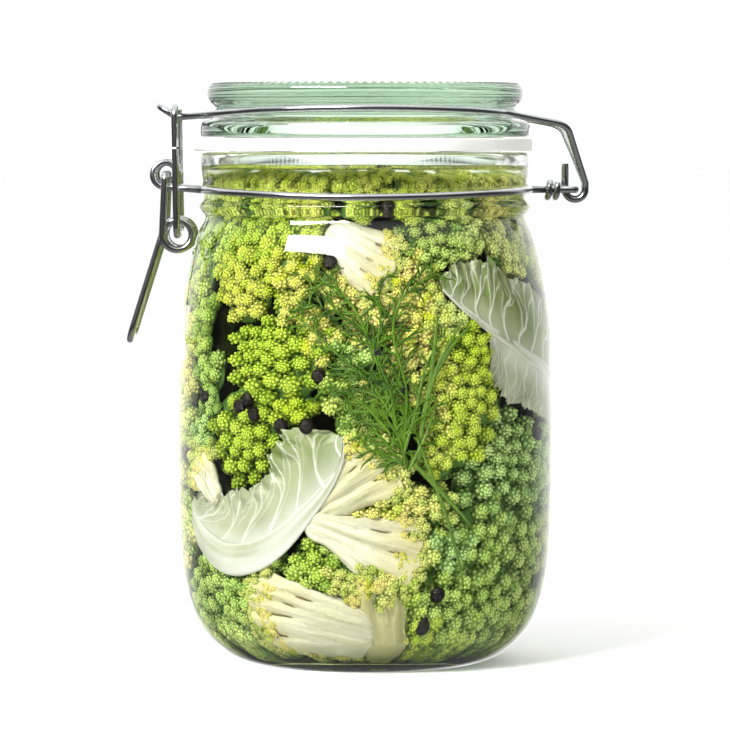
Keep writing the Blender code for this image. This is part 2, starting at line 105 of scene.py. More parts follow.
# %% The mottling group
def make_mottling():
    """The group: a colour, where its patches lie, and a height for a bump."""
    tree, given, out = new_group(
        "mottling", "ShaderNodeTree",
        {"Dark": ("Color", (0.1, 0.2, 0.02, 1)), "Light": ("Color", (0.4, 0.5, 0.1, 1)),
         "Patch Scale": ("Float", 90.0), "Speck Scale": ("Float", 900.0), "Speck Share": ("Float", 0.35)},
        {"Color": "Color", "Patches": "Float", "Height": "Float"},
    )
    place = add(tree, "ShaderNodeTexCoord").outputs["Object"]
    patch = add(tree, "ShaderNodeTexNoise", {"Vector": place, "Scale": given["Patch Scale"], "Detail": 3.0})
    speck = add(tree, "ShaderNodeTexNoise", {"Vector": place, "Scale": given["Speck Scale"], "Detail": 2.0})
    wide = add(tree, "ShaderNodeMapRange", {0: patch.outputs[0], 1: 0.32, 2: 0.68}).outputs[0]
    both = add(tree, "ShaderNodeMix", {0: given["Speck Share"], 2: wide, 3: speck.outputs[0]}).outputs[0]
    colour = add(tree, "ShaderNodeMix", {0: both, 6: given["Dark"], 7: given["Light"]}, data_type="RGBA")
    tree.links.new(colour.outputs[2], out["Color"])
    tree.links.new(wide, out["Patches"])
    tree.links.new(speck.outputs[0], out["Height"])
    return tree


mottling = make_mottling()


def mottled(tree, shader, dark, light, patch, speck, depth, share=0.35):
    """Puts the group into a material: its colour, and its specks as a bump of this depth in metres."""
    values = {"Dark": dark, "Light": light, "Patch Scale": patch, "Speck Scale": speck, "Speck Share": share}
    shade = add(tree, "ShaderNodeGroup", values, node_tree=mottling)
    tree.links.new(shade.outputs["Color"], shader.inputs["Base Color"])
    bump = add(tree, "ShaderNodeBump", {"Height": shade.outputs["Height"], "Distance": depth})
    tree.links.new(bump.outputs[0], shader.inputs["Normal"])
    return shade


print("group", mottling.name, [item.name for item in mottling.interface.items_tree])

# %% [markdown]
# ## Glass and brine
# Clear glass bends light, so what is behind it is only reached by rays that pass through it. Lamps can't
# find their way through a bent surface in few samples, which leaves the inside dark and grainy. The usual
# way round is used here: for shadow rays and for rays that left a matt surface, the glass counts as
# transparent. What the eye sees is still true refraction. The green tint sits in the volume, so it is strong
# only where a line of sight runs far through the glass, as along the lid's rim.
#
# The jar's glass changes with height: its thick foot is tinted a little more, and its neck is wavier and
# blurs what stands behind it. Where brine wets the wall there is hardly any step for light to bounce off, so
# the points marked as wetted mirror nothing.

# %% The clear materials
def new_material(name, **values):
    """A material, its nodes and its shader. The values go into its sockets, with _ for a blank in a name."""
    made = bpy.data.materials.new(name)
    made.use_nodes = True
    shader = made.node_tree.nodes["Principled BSDF"]
    for label, value in values.items():
        shader.inputs[label.replace("_", " ")].default_value = value
    return made, made.node_tree, shader


def clear_material(name, ior, tint, density, gleam=1.0):
    """Glass or water, with its tint per metre in the volume. gleam 0 leaves out the mirror image."""
    made, tree, shader = new_material(
        name, Base_Color=(1.0, 1.0, 1.0, 1.0), Specular_Tint=(gleam, gleam, gleam, 1.0),
        Transmission_Weight=1.0, Roughness=0.0, IOR=ior)
    out = tree.nodes["Material Output"]
    path = add(tree, "ShaderNodeLightPath")
    straight = maths(tree, "MAXIMUM", path.outputs["Is Shadow Ray"], path.outputs["Is Diffuse Ray"])
    through = add(tree, "ShaderNodeBsdfTransparent")
    surface = add(tree, "ShaderNodeMixShader", {0: straight, 1: shader.outputs[0], 2: through.outputs[0]})
    tree.links.new(surface.outputs[0], out.inputs["Surface"])
    depth = add(tree, "ShaderNodeVolumeAbsorption", {"Color": (*tint, 1.0), "Density": density})
    tree.links.new(depth.outputs[0], out.inputs["Volume"])
    return made, tree, shader


def wavy(tree, shader, scale, strength, distance):
    """Pressed glass is never quite even: a slow noise, drawn out along the turn, tips its surface."""
    place = add(tree, "ShaderNodeTexCoord").outputs["Object"]
    level = add(tree, "ShaderNodeMapping", {"Vector": place, "Scale": (1.0, 1.0, 2.2)}).outputs[0]
    slow = add(tree, "ShaderNodeTexNoise", {"Vector": level, "Scale": scale, "Detail": 1.0}).outputs[0]
    bump = add(tree, "ShaderNodeBump", {"Height": slow, "Strength": strength, "Distance": distance})
    tree.links.new(bump.outputs[0], shader.inputs["Normal"])


def mixed(tree, factor, first, second):
    """Two colours mixed: the first at factor 0, the second at factor 1."""
    return add(tree, "ShaderNodeMix", {0: factor, 6: first, 7: second}, data_type="RGBA").outputs[2]


def mark(tree, label):
    """A number that the mesh carries on its points."""
    return add(tree, "ShaderNodeAttribute", attribute_name=label).outputs["Fac"]


def fitted(tree, value, low, high, first=0.0, last=1.0, ease="LINEAR"):
    """The value's way from low to high, turned into the way from first to last."""
    return add(tree, "ShaderNodeMapRange", {0: value, 1: low, 2: high, 3: first, 4: last},
               interpolation_type=ease).outputs[0]


GLASS_IOR, WATER_IOR = 1.5, 1.333
jar_glass, tree, shader = clear_material("jar_glass_clear", GLASS_IOR, (0.58, 0.90, 0.70), 9.0)
place = add(tree, "ShaderNodeTexCoord").outputs["Object"]
height = add(tree, "ShaderNodeSeparateXYZ", {0: place}).outputs["Z"]
wavy(tree, shader, 45.0, fitted(tree, height, 0.131, 0.137, 0.18, 1.0), 0.0006)
tree.links.new(fitted(tree, height, 0.134, 0.139, 0.0, 0.09), shader.inputs["Roughness"])
foot = fitted(tree, height, 0.0025, 0.0085, ease="SMOOTHSTEP")
tree.links.new(mixed(tree, foot, paint(206, 220, 128), paint(255, 255, 255)), shader.inputs["Base Color"])
tree.links.new(fitted(tree, mark(tree, "wetted"), 0.0, 1.0, 1.0, 0.0), shader.inputs["Specular Tint"])
lid_glass, tree, shader = clear_material("lid_glass_mint", GLASS_IOR, (0.37, 0.63, 0.39), 15.5)
wavy(tree, shader, 60.0, 0.15, 0.0005)
brine_water = clear_material("brine_clear", WATER_IOR, (0.82, 0.90, 0.35), 4.0, 0.0)[0]
print("clear materials", jar_glass.name, lid_glass.name, brine_water.name)

# %% [markdown]
# ## Turned shapes
# Jar, lid and rubber ring are round about one axis. A lathe shape is a profile of (radius, height) marks
# turned about Z. The marks alone would give hard ridges, so their corners are cut off twice, which keeps the
# curve inside the marks: that way no piece grows out of the solid it stands for.

# %% Eased profiles and the lathe
def eased(profile, rounds=2):
    """The profile with its corners cut, again and again. Its first and last marks stay."""
    for _ in range(rounds):
        cut = [profile[0]]
        for (r0, z0), (r1, z1) in zip(profile, profile[1:]):
            cut.append((0.75 * r0 + 0.25 * r1, 0.75 * z0 + 0.25 * z1))
            cut.append((0.25 * r0 + 0.75 * r1, 0.25 * z0 + 0.75 * z1))
        profile = cut + [profile[-1]]
    return profile


def piece(name, mesh, material, body, slot, *nodes):
    """An object at the origin that rides on a body, and stands for the given nodes."""
    made = bpy.data.objects.new(name, mesh)
    scene.collection.objects.link(made)
    if material is not None:
        mesh.materials.clear()
        mesh.materials.append(material)
    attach(made, body)
    if nodes:
        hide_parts(*nodes)
    print(f"{name}: {len(mesh.polygons)} faces on {body}")
    return made


def lathe(name, profile, steps):
    """A closed round mesh from a profile in millimetres that ends on the axis, or on its own start."""
    shape = bmesh.new()
    closed = profile[0] == profile[-1]
    marks = profile[:-1] if closed else profile
    rings = []
    for r, z in marks:
        if r < 1e-6:
            rings.append([shape.verts.new((0.0, 0.0, z * MM))] * steps)
            continue
        turn = [2 * math.pi * i / steps for i in range(steps)]
        rings.append([shape.verts.new((r * MM * math.cos(a), r * MM * math.sin(a), z * MM)) for a in turn])
    for upper, lower in zip(rings, rings[1:] + rings[:1] if closed else rings[1:]):
        for i in range(steps):
            j = (i + 1) % steps
            corners = [upper[i], upper[j], lower[j], lower[i]]
            shape.faces.new(list(dict.fromkeys(corners)))
    bmesh.ops.recalc_face_normals(shape, faces=shape.faces[:])
    for face in shape.faces:
        face.smooth = True
    mesh = bpy.data.meshes.new(name)
    shape.to_mesh(mesh)
    shape.free()
    return mesh


# %% [markdown]
# ## The jar's glass
# The jar is one skin: up the inside from the middle of its floor, over the lip, and down the outside past
# the collar, the wire's groove and the shoulder. Inner points that brine covers are marked, for the glass
# material.

# %% The jar
BRINE_Z = 144.7
jar_inside = [
    (0.0, 6.0), (20.0, 5.3), (33.0, 4.6), (38.5, 6.4), (43.5, 10.5), (47.2, 16.5), (50.0, 26.0), (51.3, 48.0),
    (51.3, 93.0), (49.9, 106.2), (47.6, 118.0), (45.3, 125.3), (43.0, 131.0), (42.2, 134.8), (42.2, 148.7),
]
jar_outside = [
    (43.0, 149.7), (46.9, 149.7), (48.1, 149.2), (48.5, 148.0), (48.0, 142.3), (47.8, 139.9), (47.4, 139.2),
    (47.4, 135.6), (48.55, 134.9), (48.95, 133.7), (48.15, 132.3), (47.0, 131.2), (47.4, 129.6),
    (49.4, 125.3), (51.5, 118.0), (53.7, 106.2), (55.0, 93.0), (55.0, 48.0), (54.2, 30.0), (51.8, 18.0),
    (49.4, 12.2), (46.5, 8.0), (43.0, 4.6), (39.0, 1.8), (34.5, 0.3), (33.0, 0.0), (0.0, 0.0),
]
ROUND_STEPS = 192
jar = piece("jar_glass_turned", lathe("jar", eased(jar_inside + jar_outside), ROUND_STEPS), jar_glass, "jar",
            "jar_glass", "jar_glass")
wetted = jar.data.attributes.new("wetted", "FLOAT", "POINT").data
for vertex in jar.data.vertices:
    r, z = math.hypot(vertex.co.x, vertex.co.y) / MM, vertex.co.z / MM
    wall = float(np.interp(z, [up for _, up in jar_inside[1:]], [out for out, _ in jar_inside[1:]]))
    wetted[vertex.index].value = float(4.0 < z < BRINE_Z and r < wall + 0.5)
print("wetted points", sum(int(item.value) for item in wetted))

# %% [markdown]
# ## The lid
# The lid is thick glass: a rim, a waist for the wire, a flange that sits on the rubber ring and a hollow
# plug that reaches into the mouth. The rim's upper edge is pressed into fine ribs, so the lathe takes six
# steps a rib and the points up there are lowered in waves.

# %% The lid, with a ribbed upper rim
lid_profile = [
    (0.0, 168.8), (41.5, 169.2), (43.2, 170.0), (44.6, 170.0), (45.7, 169.5), (46.5, 168.0), (46.5, 165.4),
    (45.6, 164.0), (44.2, 163.4), (44.2, 159.6), (47.3, 158.9), (48.5, 157.8), (48.5, 154.7), (47.9, 154.0),
    (40.9, 154.0), (40.3, 153.2), (39.1, 145.9), (37.9, 145.3), (35.4, 145.7), (33.6, 148.3), (29.1, 156.5),
    (24.6, 158.0), (0.0, 159.0),
]
RIM_RIBS, RIB_DEPTH, RIB_LOW_Z = 112, 0.45, 169.3
lid_mesh = lathe("lid", eased(lid_profile), RIM_RIBS * 6)
for vertex in lid_mesh.vertices:
    r, z = math.hypot(vertex.co.x, vertex.co.y) / MM, vertex.co.z / MM
    if z > RIB_LOW_Z and 42.3 < r < 46.0:
        wave = 0.5 - 0.5 * math.cos(RIM_RIBS * math.atan2(vertex.co.y, vertex.co.x))
        vertex.co.z -= RIB_DEPTH * wave * min(1.0, (z - RIB_LOW_Z) / 0.4) * MM
piece("lid_glass_turned", lid_mesh, lid_glass, "lid", "lid_glass", "lid_glass")

# %% [markdown]
# ## The rubber ring
# The ring is soft milky rubber, squeezed between lid and jar, with a tongue to pull at the clip. It is
# turned like the glass, and the tongue is a bulge pushed out of its rim, so that ring and tongue are one
# skin.

# %% The ring and its rubber
rubber, tree, shader = new_material("milky_rubber", Roughness=0.42, IOR=1.45)
mottled(tree, shader, paint(196, 197, 190), paint(216, 217, 210), 60.0, 1500.0, 0.00005)
RING_R, RING_HOLE_R, RING_LOW, RING_HIGH = 49.15, 41.3, 149.95, 153.75
TONGUE_REACH, TONGUE_HALF = 1.25, 6.5
ring_profile = [
    (RING_R - 0.9, RING_HIGH), (RING_R - 0.2, RING_HIGH - 0.1), (RING_R, RING_HIGH - 0.7),
    (RING_R, RING_LOW + 0.7), (RING_R - 0.2, RING_LOW + 0.1), (RING_R - 0.9, RING_LOW),
    (RING_HOLE_R + 0.5, RING_LOW),
    (RING_HOLE_R, RING_LOW + 0.5), (RING_HOLE_R, RING_HIGH - 0.5), (RING_HOLE_R + 0.5, RING_HIGH),
    (RING_R - 0.9, RING_HIGH),
]
ring_mesh = lathe("ring", ring_profile, 256)
for vertex in ring_mesh.vertices:
    x, y = vertex.co.x / MM, vertex.co.y / MM
    if x < 0 and math.hypot(x, y) > RING_R - 1.5:
        vertex.co.x -= TONGUE_REACH * math.exp(-((y / TONGUE_HALF) ** 4)) * MM
piece("rubber_ring", ring_mesh, rubber, "lid", "rubber", "gasket")

# %% [markdown]
# ## Wire, grown along its path
# Each part of the closure is one length of round steel wire bent on a jig. A curve with a bevel would do,
# but Geometry Nodes give more: the tree turns a path of points into a curve, sweeps a circle along it,
# closes its ends, and writes down how far along and how far round the wire each point lies. The steel's
# drawing marks need those two numbers, because they run along the wire wherever it bends.

# %% The wire tree
WIRE_SIDES = 18


def noted(tree, geometry, label, value, domain="POINT"):
    """The geometry with a number written down on its points or instances."""
    return add(tree, "GeometryNodeStoreNamedAttribute", {"Geometry": geometry, "Name": label, "Value": value},
               data_type="FLOAT", domain=domain).outputs[0]


def finished(tree, geometry, material):
    """How both trees end: instances made real, and a material on everything."""
    whole = add(tree, "GeometryNodeRealizeInstances", {"Geometry": geometry}).outputs[0]
    return add(tree, "GeometryNodeSetMaterial", {"Geometry": whole, "Material": material}).outputs[0]


def make_wire_tree():
    """Sweeps a circle along a path of points."""
    tree, given, out = new_group(
        "bent_wire", "GeometryNodeTree",
        {"Path": ("Geometry", None), "Radius": ("Float", 0.001), "Sides": ("Int", WIRE_SIDES),
         "Steel": ("Material", None)},
        {"Wire": "Geometry"},
    )
    line = add(tree, "GeometryNodeMeshToCurve", {"Mesh": given["Path"]}).outputs[0]
    run = add(tree, "GeometryNodeSplineParameter").outputs
    line = noted(tree, line, "along", run["Length"])
    circle = add(tree, "GeometryNodeCurvePrimitiveCircle",
                 {"Resolution": given["Sides"], "Radius": given["Radius"]}).outputs[0]
    circle = noted(tree, circle, "around", run["Factor"])
    swept = add(tree, "GeometryNodeCurveToMesh",
                {"Curve": line, "Profile Curve": circle, "Fill Caps": True}).outputs[0]
    swept = add(tree, "GeometryNodeSetShadeSmooth", {"Geometry": swept}).outputs[0]
    tree.links.new(finished(tree, swept, given["Steel"]), out["Wire"])
    return tree


def grow(name, tree, start=None, **values):
    """Runs a tree once and gives its result as a plain mesh, with no modifier left."""
    carrier = bpy.data.objects.new(name, start or bpy.data.meshes.new(name))
    scene.collection.objects.link(carrier)
    modifier = carrier.modifiers.new("grow", "NODES")
    modifier.node_group = tree
    sockets = {item.name: item.identifier for item in tree.interface.items_tree if item.in_out == "INPUT"}
    for label, value in values.items():
        modifier[sockets[label.replace("_", " ")]] = value
    mesh = bpy.data.meshes.new_from_object(carrier.evaluated_get(bpy.context.evaluated_depsgraph_get()))
    bpy.data.objects.remove(carrier)
    return mesh


def outward(mesh):
    """The mesh with its faces turned outwards."""
    shape = bmesh.new()
    shape.from_mesh(mesh)
    bmesh.ops.recalc_face_normals(shape, faces=shape.faces[:])
    shape.to_mesh(mesh)
    shape.free()
    return mesh


wire_tree = make_wire_tree()
print("tree", wire_tree.name)

# %% [markdown]
# ## Drawn steel
# Wire is pulled through a die, which leaves it bright, with faint scratches along its length and a slight
# unevenness in its shine. The material reads the two numbers from the sweep: a noise stretched along the
# wire tips the surface and changes its roughness.

# %% The steel
steel, tree, shader = new_material("drawn_steel", Metallic=1.0)
lines = add(tree, "ShaderNodeCombineXYZ", {0: maths(tree, "MULTIPLY", mark(tree, "along"), 120.0),
                                           1: maths(tree, "MULTIPLY", mark(tree, "around"), 26.0)})
scratches = add(tree, "ShaderNodeTexNoise",
                {"Vector": lines.outputs[0], "Scale": 1.0, "Detail": 4.0}).outputs[0]
tone = mixed(tree, scratches, (0.40, 0.41, 0.42, 1), (0.68, 0.68, 0.69, 1))
tree.links.new(tone, shader.inputs["Base Color"])
tree.links.new(fitted(tree, scratches, 0.0, 1.0, 0.16, 0.30), shader.inputs["Roughness"])
bump = add(tree, "ShaderNodeBump", {"Height": scratches, "Strength": 0.25, "Distance": 0.00006})
tree.links.new(bump.outputs[0], shader.inputs["Normal"])
print("steel", steel.name)

# %% [markdown]
# ## Paths for the wires
# A jig bends wire in straight runs, arcs and coils. Two helpers make those: one rounds the corners of a
# path, the other winds a coil about an axis along Y, the way the lid and the clip swing.

# %% Corners and coils
WIRE_R = 1.05
TURN_PITCH = 2.35


def rounded(path, radii, steps=12):
    """The path with each inner corner replaced by an arc of the given radius, where that is not zero."""
    found = [path[0]]
    for before, corner, after, radius in zip(path, path[1:], path[2:], radii):
        if not radius:
            found.append(corner)
            continue
        u, v = (before - corner).normalized(), (after - corner).normalized()
        half = u.angle(v) / 2
        centre = corner + (u + v).normalized() * (radius / math.sin(half))
        a = corner + u * (radius / math.tan(half)) - centre
        for i in range(steps + 1):
            t = (math.pi - 2 * half) * i / steps
            found.append(centre + a * math.cos(t) - u * radius * math.sin(t))
    found.append(path[-1])
    return found


def coil(centre, radius, y_start, y_end, start, end, per_turn=40):
    """A coil about an axis along Y. Angles in degrees, from +X towards +Z."""
    count = max(8, round(abs(end - start) / 360 * per_turn))
    found = []
    for i in range(count + 1):
        a = math.radians(start + (end - start) * i / count)
        y = y_start + (y_end - y_start) * i / count
        found.append(Vector((centre[0] + radius * math.cos(a), y, centre[1] + radius * math.sin(a))))
    return found


def mirrored(path):
    """The path's other half, walked back on the far side of the jar's middle plane."""
    return [Vector((p.x, -p.y, p.z)) for p in reversed(path)]


def wire(name, path, body, node, radius=WIRE_R):
    """A piece of wire along a path in millimetres."""
    line = bpy.data.meshes.new(name)
    line.from_pydata([p * MM for p in path], [(i, i + 1) for i in range(len(path) - 1)], [])
    mesh = outward(grow(name, wire_tree, line, Radius=radius * MM, Sides=WIRE_SIDES, Steel=steel))
    length = sum((b - a).length for a, b in zip(path, path[1:]))
    print(f"{length:.0f} mm of wire")
    piece(name, mesh, None, body, "steel_wire", node)


# %% [markdown]
# ## Neck wire, hinge loop and eyes
# One wire lies in the groove of the neck. Its two ends are wound into eyes, the bearings of the clip. At the
# other side its middle is drawn out into a long loop, the bearing of the lid's arms, and a short second wire
# is wound round the loop to hold its strands together.

# %% The neck wire
NECK_WIRE_R, NECK_WIRE_FRONT_Z = 48.65, 136.95
HINGE, HINGE_STRAND_Y = (61.7, 138.8), 3.8
EYE, EYE_R, EYE_Y, EYE_TURNS = (-58.2, 143.2), 3.55, 10.8, 1.8


def neck_wire_path():
    """Eye, half the neck, the hinge loop, and the same again on the other side."""
    eye = coil(EYE, EYE_R, -EYE_Y, TURN_PITCH * EYE_TURNS - EYE_Y, 270.0, 270.0 - 360.0 * EYE_TURNS)
    front = list(reversed(eye))
    first = math.degrees(math.asin(EYE_Y / NECK_WIRE_R))
    last = math.degrees(math.asin(HINGE_STRAND_Y / NECK_WIRE_R))
    count = 90
    for i in range(count + 1):
        a = math.radians(180.0 + first + (180.0 - first - last) * i / count)
        x = NECK_WIRE_R * math.cos(a)
        z = NECK_WIRE_FRONT_Z + (HINGE[1] - NECK_WIRE_FRONT_Z) * min(1.0, (x / NECK_WIRE_R) ** 2)
        front.append(Vector((x, NECK_WIRE_R * math.sin(a), z)))
    start = front.pop()
    out, back = Vector((HINGE[0], -HINGE_STRAND_Y, HINGE[1])), Vector((HINGE[0], HINGE_STRAND_Y, HINGE[1]))
    loop = rounded([start, out, back, Vector((start.x, -start.y, start.z))], [1.75] * 2)
    return front + loop + mirrored(front)


wire("neck_wire_bent", neck_wire_path(), "jar", "neck_wire")

# %% The binding wound round the hinge loop
BINDING_X, BINDING_HALF, BINDING_TURNS, BINDING_R = 56.4, (6.1, 2.4), 1.3, 0.95


def binding_path():
    """A flattened coil about the loop's two strands."""
    path, count = [], round(60 * BINDING_TURNS)
    for i in range(count + 1):
        a = math.radians(150.0 + 360.0 * BINDING_TURNS * i / count)
        y = BINDING_HALF[0] * math.copysign(abs(math.cos(a)) ** 0.6, math.cos(a))
        z = HINGE[1] + BINDING_HALF[1] * math.copysign(abs(math.sin(a)) ** 0.6, math.sin(a))
        path.append(Vector((BINDING_X - TURN_PITCH * BINDING_TURNS * i / count, y, z)))
    return path


wire("binding_wound", binding_path(), "jar", "binding_ring", BINDING_R)

# %% [markdown]
# ## Lid wire
# The lid's wire lies in the waist under the lid's rim. Its two ends run out as arms, down to hooks in the
# hinge loop, so the lid swings on them. Its middle is bent into a narrow nose, which the clip pulls down.

# %% The lid wire
LID_WIRE_R, LID_WIRE_FRONT_Z, LID_WIRE_SIDE_Z = 45.45, 162.3, 160.8
ARM_Y, ARM_TOP, HOOK_R, HOOK_Y = 20.4, (58.4, 157.7), 2.95, 1.4
NOSE_Y, NOSE_DIP, NOSE_TIP = 4.7, (-55.3, 160.0), (-60.3, 163.2)


def lid_wire_z(x):
    """The lid's wire rises a little towards the front and the back."""
    return LID_WIRE_FRONT_Z + (LID_WIRE_SIDE_Z - LID_WIRE_FRONT_Z) * min(1.0, (x / LID_WIRE_R) ** 2)


def half_lid_wire(side, stub_z):
    """From the hook's cut end, up the arm, round half the waist, to the side of the nose."""
    bend = [math.radians(-180.0 * i / 24) for i in range(25)]
    hook = [Vector((HINGE[0] + HOOK_R * math.cos(a), side * HOOK_Y, HINGE[1] + HOOK_R * math.sin(a)))
            for a in bend]
    path = [Vector((HINGE[0] - HOOK_R, side * HOOK_Y, stub_z))] + list(reversed(hook))
    low = path.pop()
    x = math.sqrt(LID_WIRE_R**2 - ARM_Y**2)
    arm = [low, low + Vector((0.0, side * 0.4, 2.0)), Vector((ARM_TOP[0], side * ARM_Y, ARM_TOP[1])),
           Vector((x, side * ARM_Y, lid_wire_z(x)))]
    path += rounded(arm, [0, 5.0], 14)[:-1]
    strand = Vector((NOSE_DIP[0] + 2.5, side * (NOSE_Y + 1.2), 0.0))
    first = math.degrees(math.asin(ARM_Y / LID_WIRE_R))
    last = (math.degrees(math.atan2(strand.y * side, strand.x))
            - math.degrees(math.acos(LID_WIRE_R / strand.length)))
    for i in range(57):
        a = math.radians(first + (last - first) * i / 56)
        x = LID_WIRE_R * math.cos(a)
        path.append(Vector((x, side * LID_WIRE_R * math.sin(a), lid_wire_z(x))))
    nose = [Vector((NOSE_DIP[0] + 3.4, side * (NOSE_Y + 1.1), NOSE_DIP[1] + 0.25)),
            Vector((NOSE_DIP[0], side * NOSE_Y, NOSE_DIP[1])),
            Vector((NOSE_TIP[0], side * NOSE_Y, NOSE_TIP[1])),
            Vector((NOSE_TIP[0], 0.0, NOSE_TIP[1]))]
    return path + rounded(nose, [2.0, 3.6], 10)[:-1]


nose_tip = Vector((NOSE_TIP[0], 0.0, NOSE_TIP[1]))
lid_path = half_lid_wire(-1, 146.4) + [nose_tip] + list(reversed(half_lid_wire(1, 145.6)))
wire("lid_wire_bent", lid_path, "lid", "lid_wire")

# %% [markdown]
# ## Lever and link, the clip
# The lever turns in the neck wire's eyes. Each of its arms ends in a coil, and below the coils it is the bow
# that a thumb lifts. The link is a long ring of wire through both coils and over the nose: when the bow is
# pushed down against the jar, the coils go past the line of pull and the lid stays shut.

# %% The lever
COIL, COIL_R, COIL_TURNS = (-54.7, 125.6), 4.3, 2
LEVER_Y, PIN_END_Y = 13.25, 6.3
HANDLE_TIP, HANDLE_KNEE = (-68.8, 95.0), (-67.1, 100.6)


def lever_path():
    """Pin, arm, coil and half the bow, and the same again on the other side."""
    top, pin = Vector((EYE[0], -LEVER_Y, EYE[1])), Vector((EYE[0], -PIN_END_Y, EYE[1]))
    down = rounded([pin, top, Vector((COIL[0] - COIL_R, -LEVER_Y, COIL[1]))], [1.6])
    handle = Vector((HANDLE_KNEE[0] - COIL[0], 0.0, HANDLE_KNEE[1] - COIL[1]))
    leave = (math.degrees(math.atan2(handle.z, handle.x))
             - math.degrees(math.acos(COIL_R / handle.length)) + 360.0)
    sweep = 360.0 * COIL_TURNS + leave - 540.0
    y_in = LEVER_Y - TURN_PITCH * sweep / 360.0
    wound = coil(COIL, COIL_R, -LEVER_Y, -y_in, 180.0, 180.0 + sweep)
    centre = Vector((HANDLE_TIP[0], 0.0, HANDLE_TIP[1]))
    bow = [wound[-1], Vector((HANDLE_KNEE[0], -y_in, HANDLE_KNEE[1])),
           Vector((HANDLE_TIP[0], -y_in, HANDLE_TIP[1])), centre]
    half = down[:-1] + wound + rounded(bow, [9.0, 4.5], 12)[1:-1]
    return half + [centre] + mirrored(half)


wire("lever_bent", lever_path(), "lever", "lever")

# %% The link
LINK_Y, LINK_TOP, LINK_SEAM_Z, LINK_SEAM_GAP = 15.7, (-55.3, 163.0), 150.9, 0.5


def link_path():
    """A long ring with a seam in its front strand."""
    lean = (LINK_TOP[0] - COIL[0]) / (LINK_TOP[1] - COIL[1])
    seam = [Vector((COIL[0] + lean * (z - COIL[1]), -LINK_Y, z))
            for z in (LINK_SEAM_Z + LINK_SEAM_GAP / 2, LINK_SEAM_Z - LINK_SEAM_GAP / 2)]
    corners = [Vector((x, y, z)) for x, y, z in (
        (LINK_TOP[0], -LINK_Y, LINK_TOP[1]), (LINK_TOP[0], LINK_Y, LINK_TOP[1]),
        (COIL[0], LINK_Y, COIL[1]), (COIL[0], -LINK_Y, COIL[1]))]
    return rounded([seam[0], *corners, seam[1]], [3.0] * 4)


wire("link_bent", link_path(), "link", "link")

# %% [markdown]
# ## A flat map of the jar's inside
# The contents are pressed against a curved wall. Placing hundreds of things on a curve is awkward, so they
# are laid out on a flat map first: along the wall, up, and in from the glass, in millimetres. One function
# then rolls the map up inside the jar. It also squeezes whatever would stick through the glass, as packing
# does, and folds what would rise above the brine or sink through the floor towards the jar's middle.

# %% The map and how it is rolled up
MAP_R = 50.0
WALL_HEIGHTS = [6.5, 10.5, 16.5, 26.0, 48.0, 93.0, 106.2, 118.0, 125.3, 131.0, 134.8, 146.0]
WALL_RADII = [33.5, 42.6, 46.4, 49.2, 50.7, 50.7, 49.2, 46.9, 44.6, 42.2, 41.5, 41.5]
TOP_FOLD_Z, BOTTOM_FOLD_Z = 140.0, 11.0


def rolled(flat, squeeze=1.1):
    """Points (along, up, in) in millimetres become points in the jar, in metres."""
    along, up, inward = np.asarray(flat, float).T
    inward = squeeze * np.logaddexp(0.0, inward / squeeze)
    over, under = np.maximum(up - TOP_FOLD_Z, 0.0), np.maximum(BOTTOM_FOLD_Z - up, 0.0)
    up = up - over + 5.0 * np.tanh(over / 5.0) + under - 3.5 * np.tanh(under / 3.5)
    inward = inward + 0.9 * over + 0.9 * under
    radius = np.maximum(np.interp(up, WALL_HEIGHTS, WALL_RADII) - inward, 2.0)
    turn = along / MAP_R
    return np.stack([radius * np.sin(turn), -radius * np.cos(turn), up], 1) * MM


def assembled(name, parts):
    """One mesh from many parts, each (points, triangles, {attribute: values})."""
    points = np.concatenate([p for p, _, _ in parts])
    starts = np.cumsum([0] + [len(p) for p, _, _ in parts[:-1]])
    faces = np.concatenate([t + start for (_, t, _), start in zip(parts, starts)])
    mesh = bpy.data.meshes.new(name)
    mesh.vertices.add(len(points))
    mesh.vertices.foreach_set("co", points.astype(np.float32).ravel())
    mesh.loops.add(faces.size)
    mesh.loops.foreach_set("vertex_index", faces.astype(np.int32).ravel())
    mesh.polygons.add(len(faces))
    mesh.polygons.foreach_set("loop_start", np.arange(0, faces.size, 3, dtype=np.int32))
    mesh.polygons.foreach_set("use_smooth", np.ones(len(faces), bool))
    for label in parts[0][2]:
        values = np.concatenate([kept[label] for _, _, kept in parts]).astype(np.float32)
        mesh.attributes.new(label, "FLOAT", "POINT").data.foreach_set("value", values)
    mesh.update(calc_edges=True)
    mesh.validate()
    return mesh


def pulled_apart(mesh, labels):
    """The points in millimetres, the triangles and the named attributes of a mesh."""
    points = np.empty(len(mesh.vertices) * 3, np.float32)
    mesh.vertices.foreach_get("co", points)
    mesh.calc_loop_triangles()
    faces = np.empty(len(mesh.loop_triangles) * 3, np.int32)
    mesh.loop_triangles.foreach_get("vertices", faces)
    kept = {}
    for label in labels:
        kept[label] = np.empty(len(mesh.vertices), np.float32)
        mesh.attributes[label].data.foreach_get("value", kept[label])
    return points.reshape(-1, 3) / MM, faces.reshape(-1, 3), kept


def in_jar(name, mesh, material, *nodes):
    """A piece of the jar's contents."""
    return piece(name, mesh, material, "jar", "pickles", *nodes)


map_size = round(2 * math.pi * MAP_R), round(BRINE_Z - jar_inside[0][1])
print("the wall's map in mm", map_size)

# %% [markdown]
# ## Romanesco, a rule inside a rule
# A romanesco head is a spiral of cones, each of them a spiral of buds, and every next one is turned by the
# golden angle, about 137.5 degrees. Sculpting that by hand would take days and never look right, while the
# rule is short: one Geometry Nodes tree sets pieces on a dome by the golden angle. It runs twice, first with
# buds to make a cone and then with cones to make a head.

# %% The golden spiral tree
GOLDEN = math.pi * (3 - math.sqrt(5))


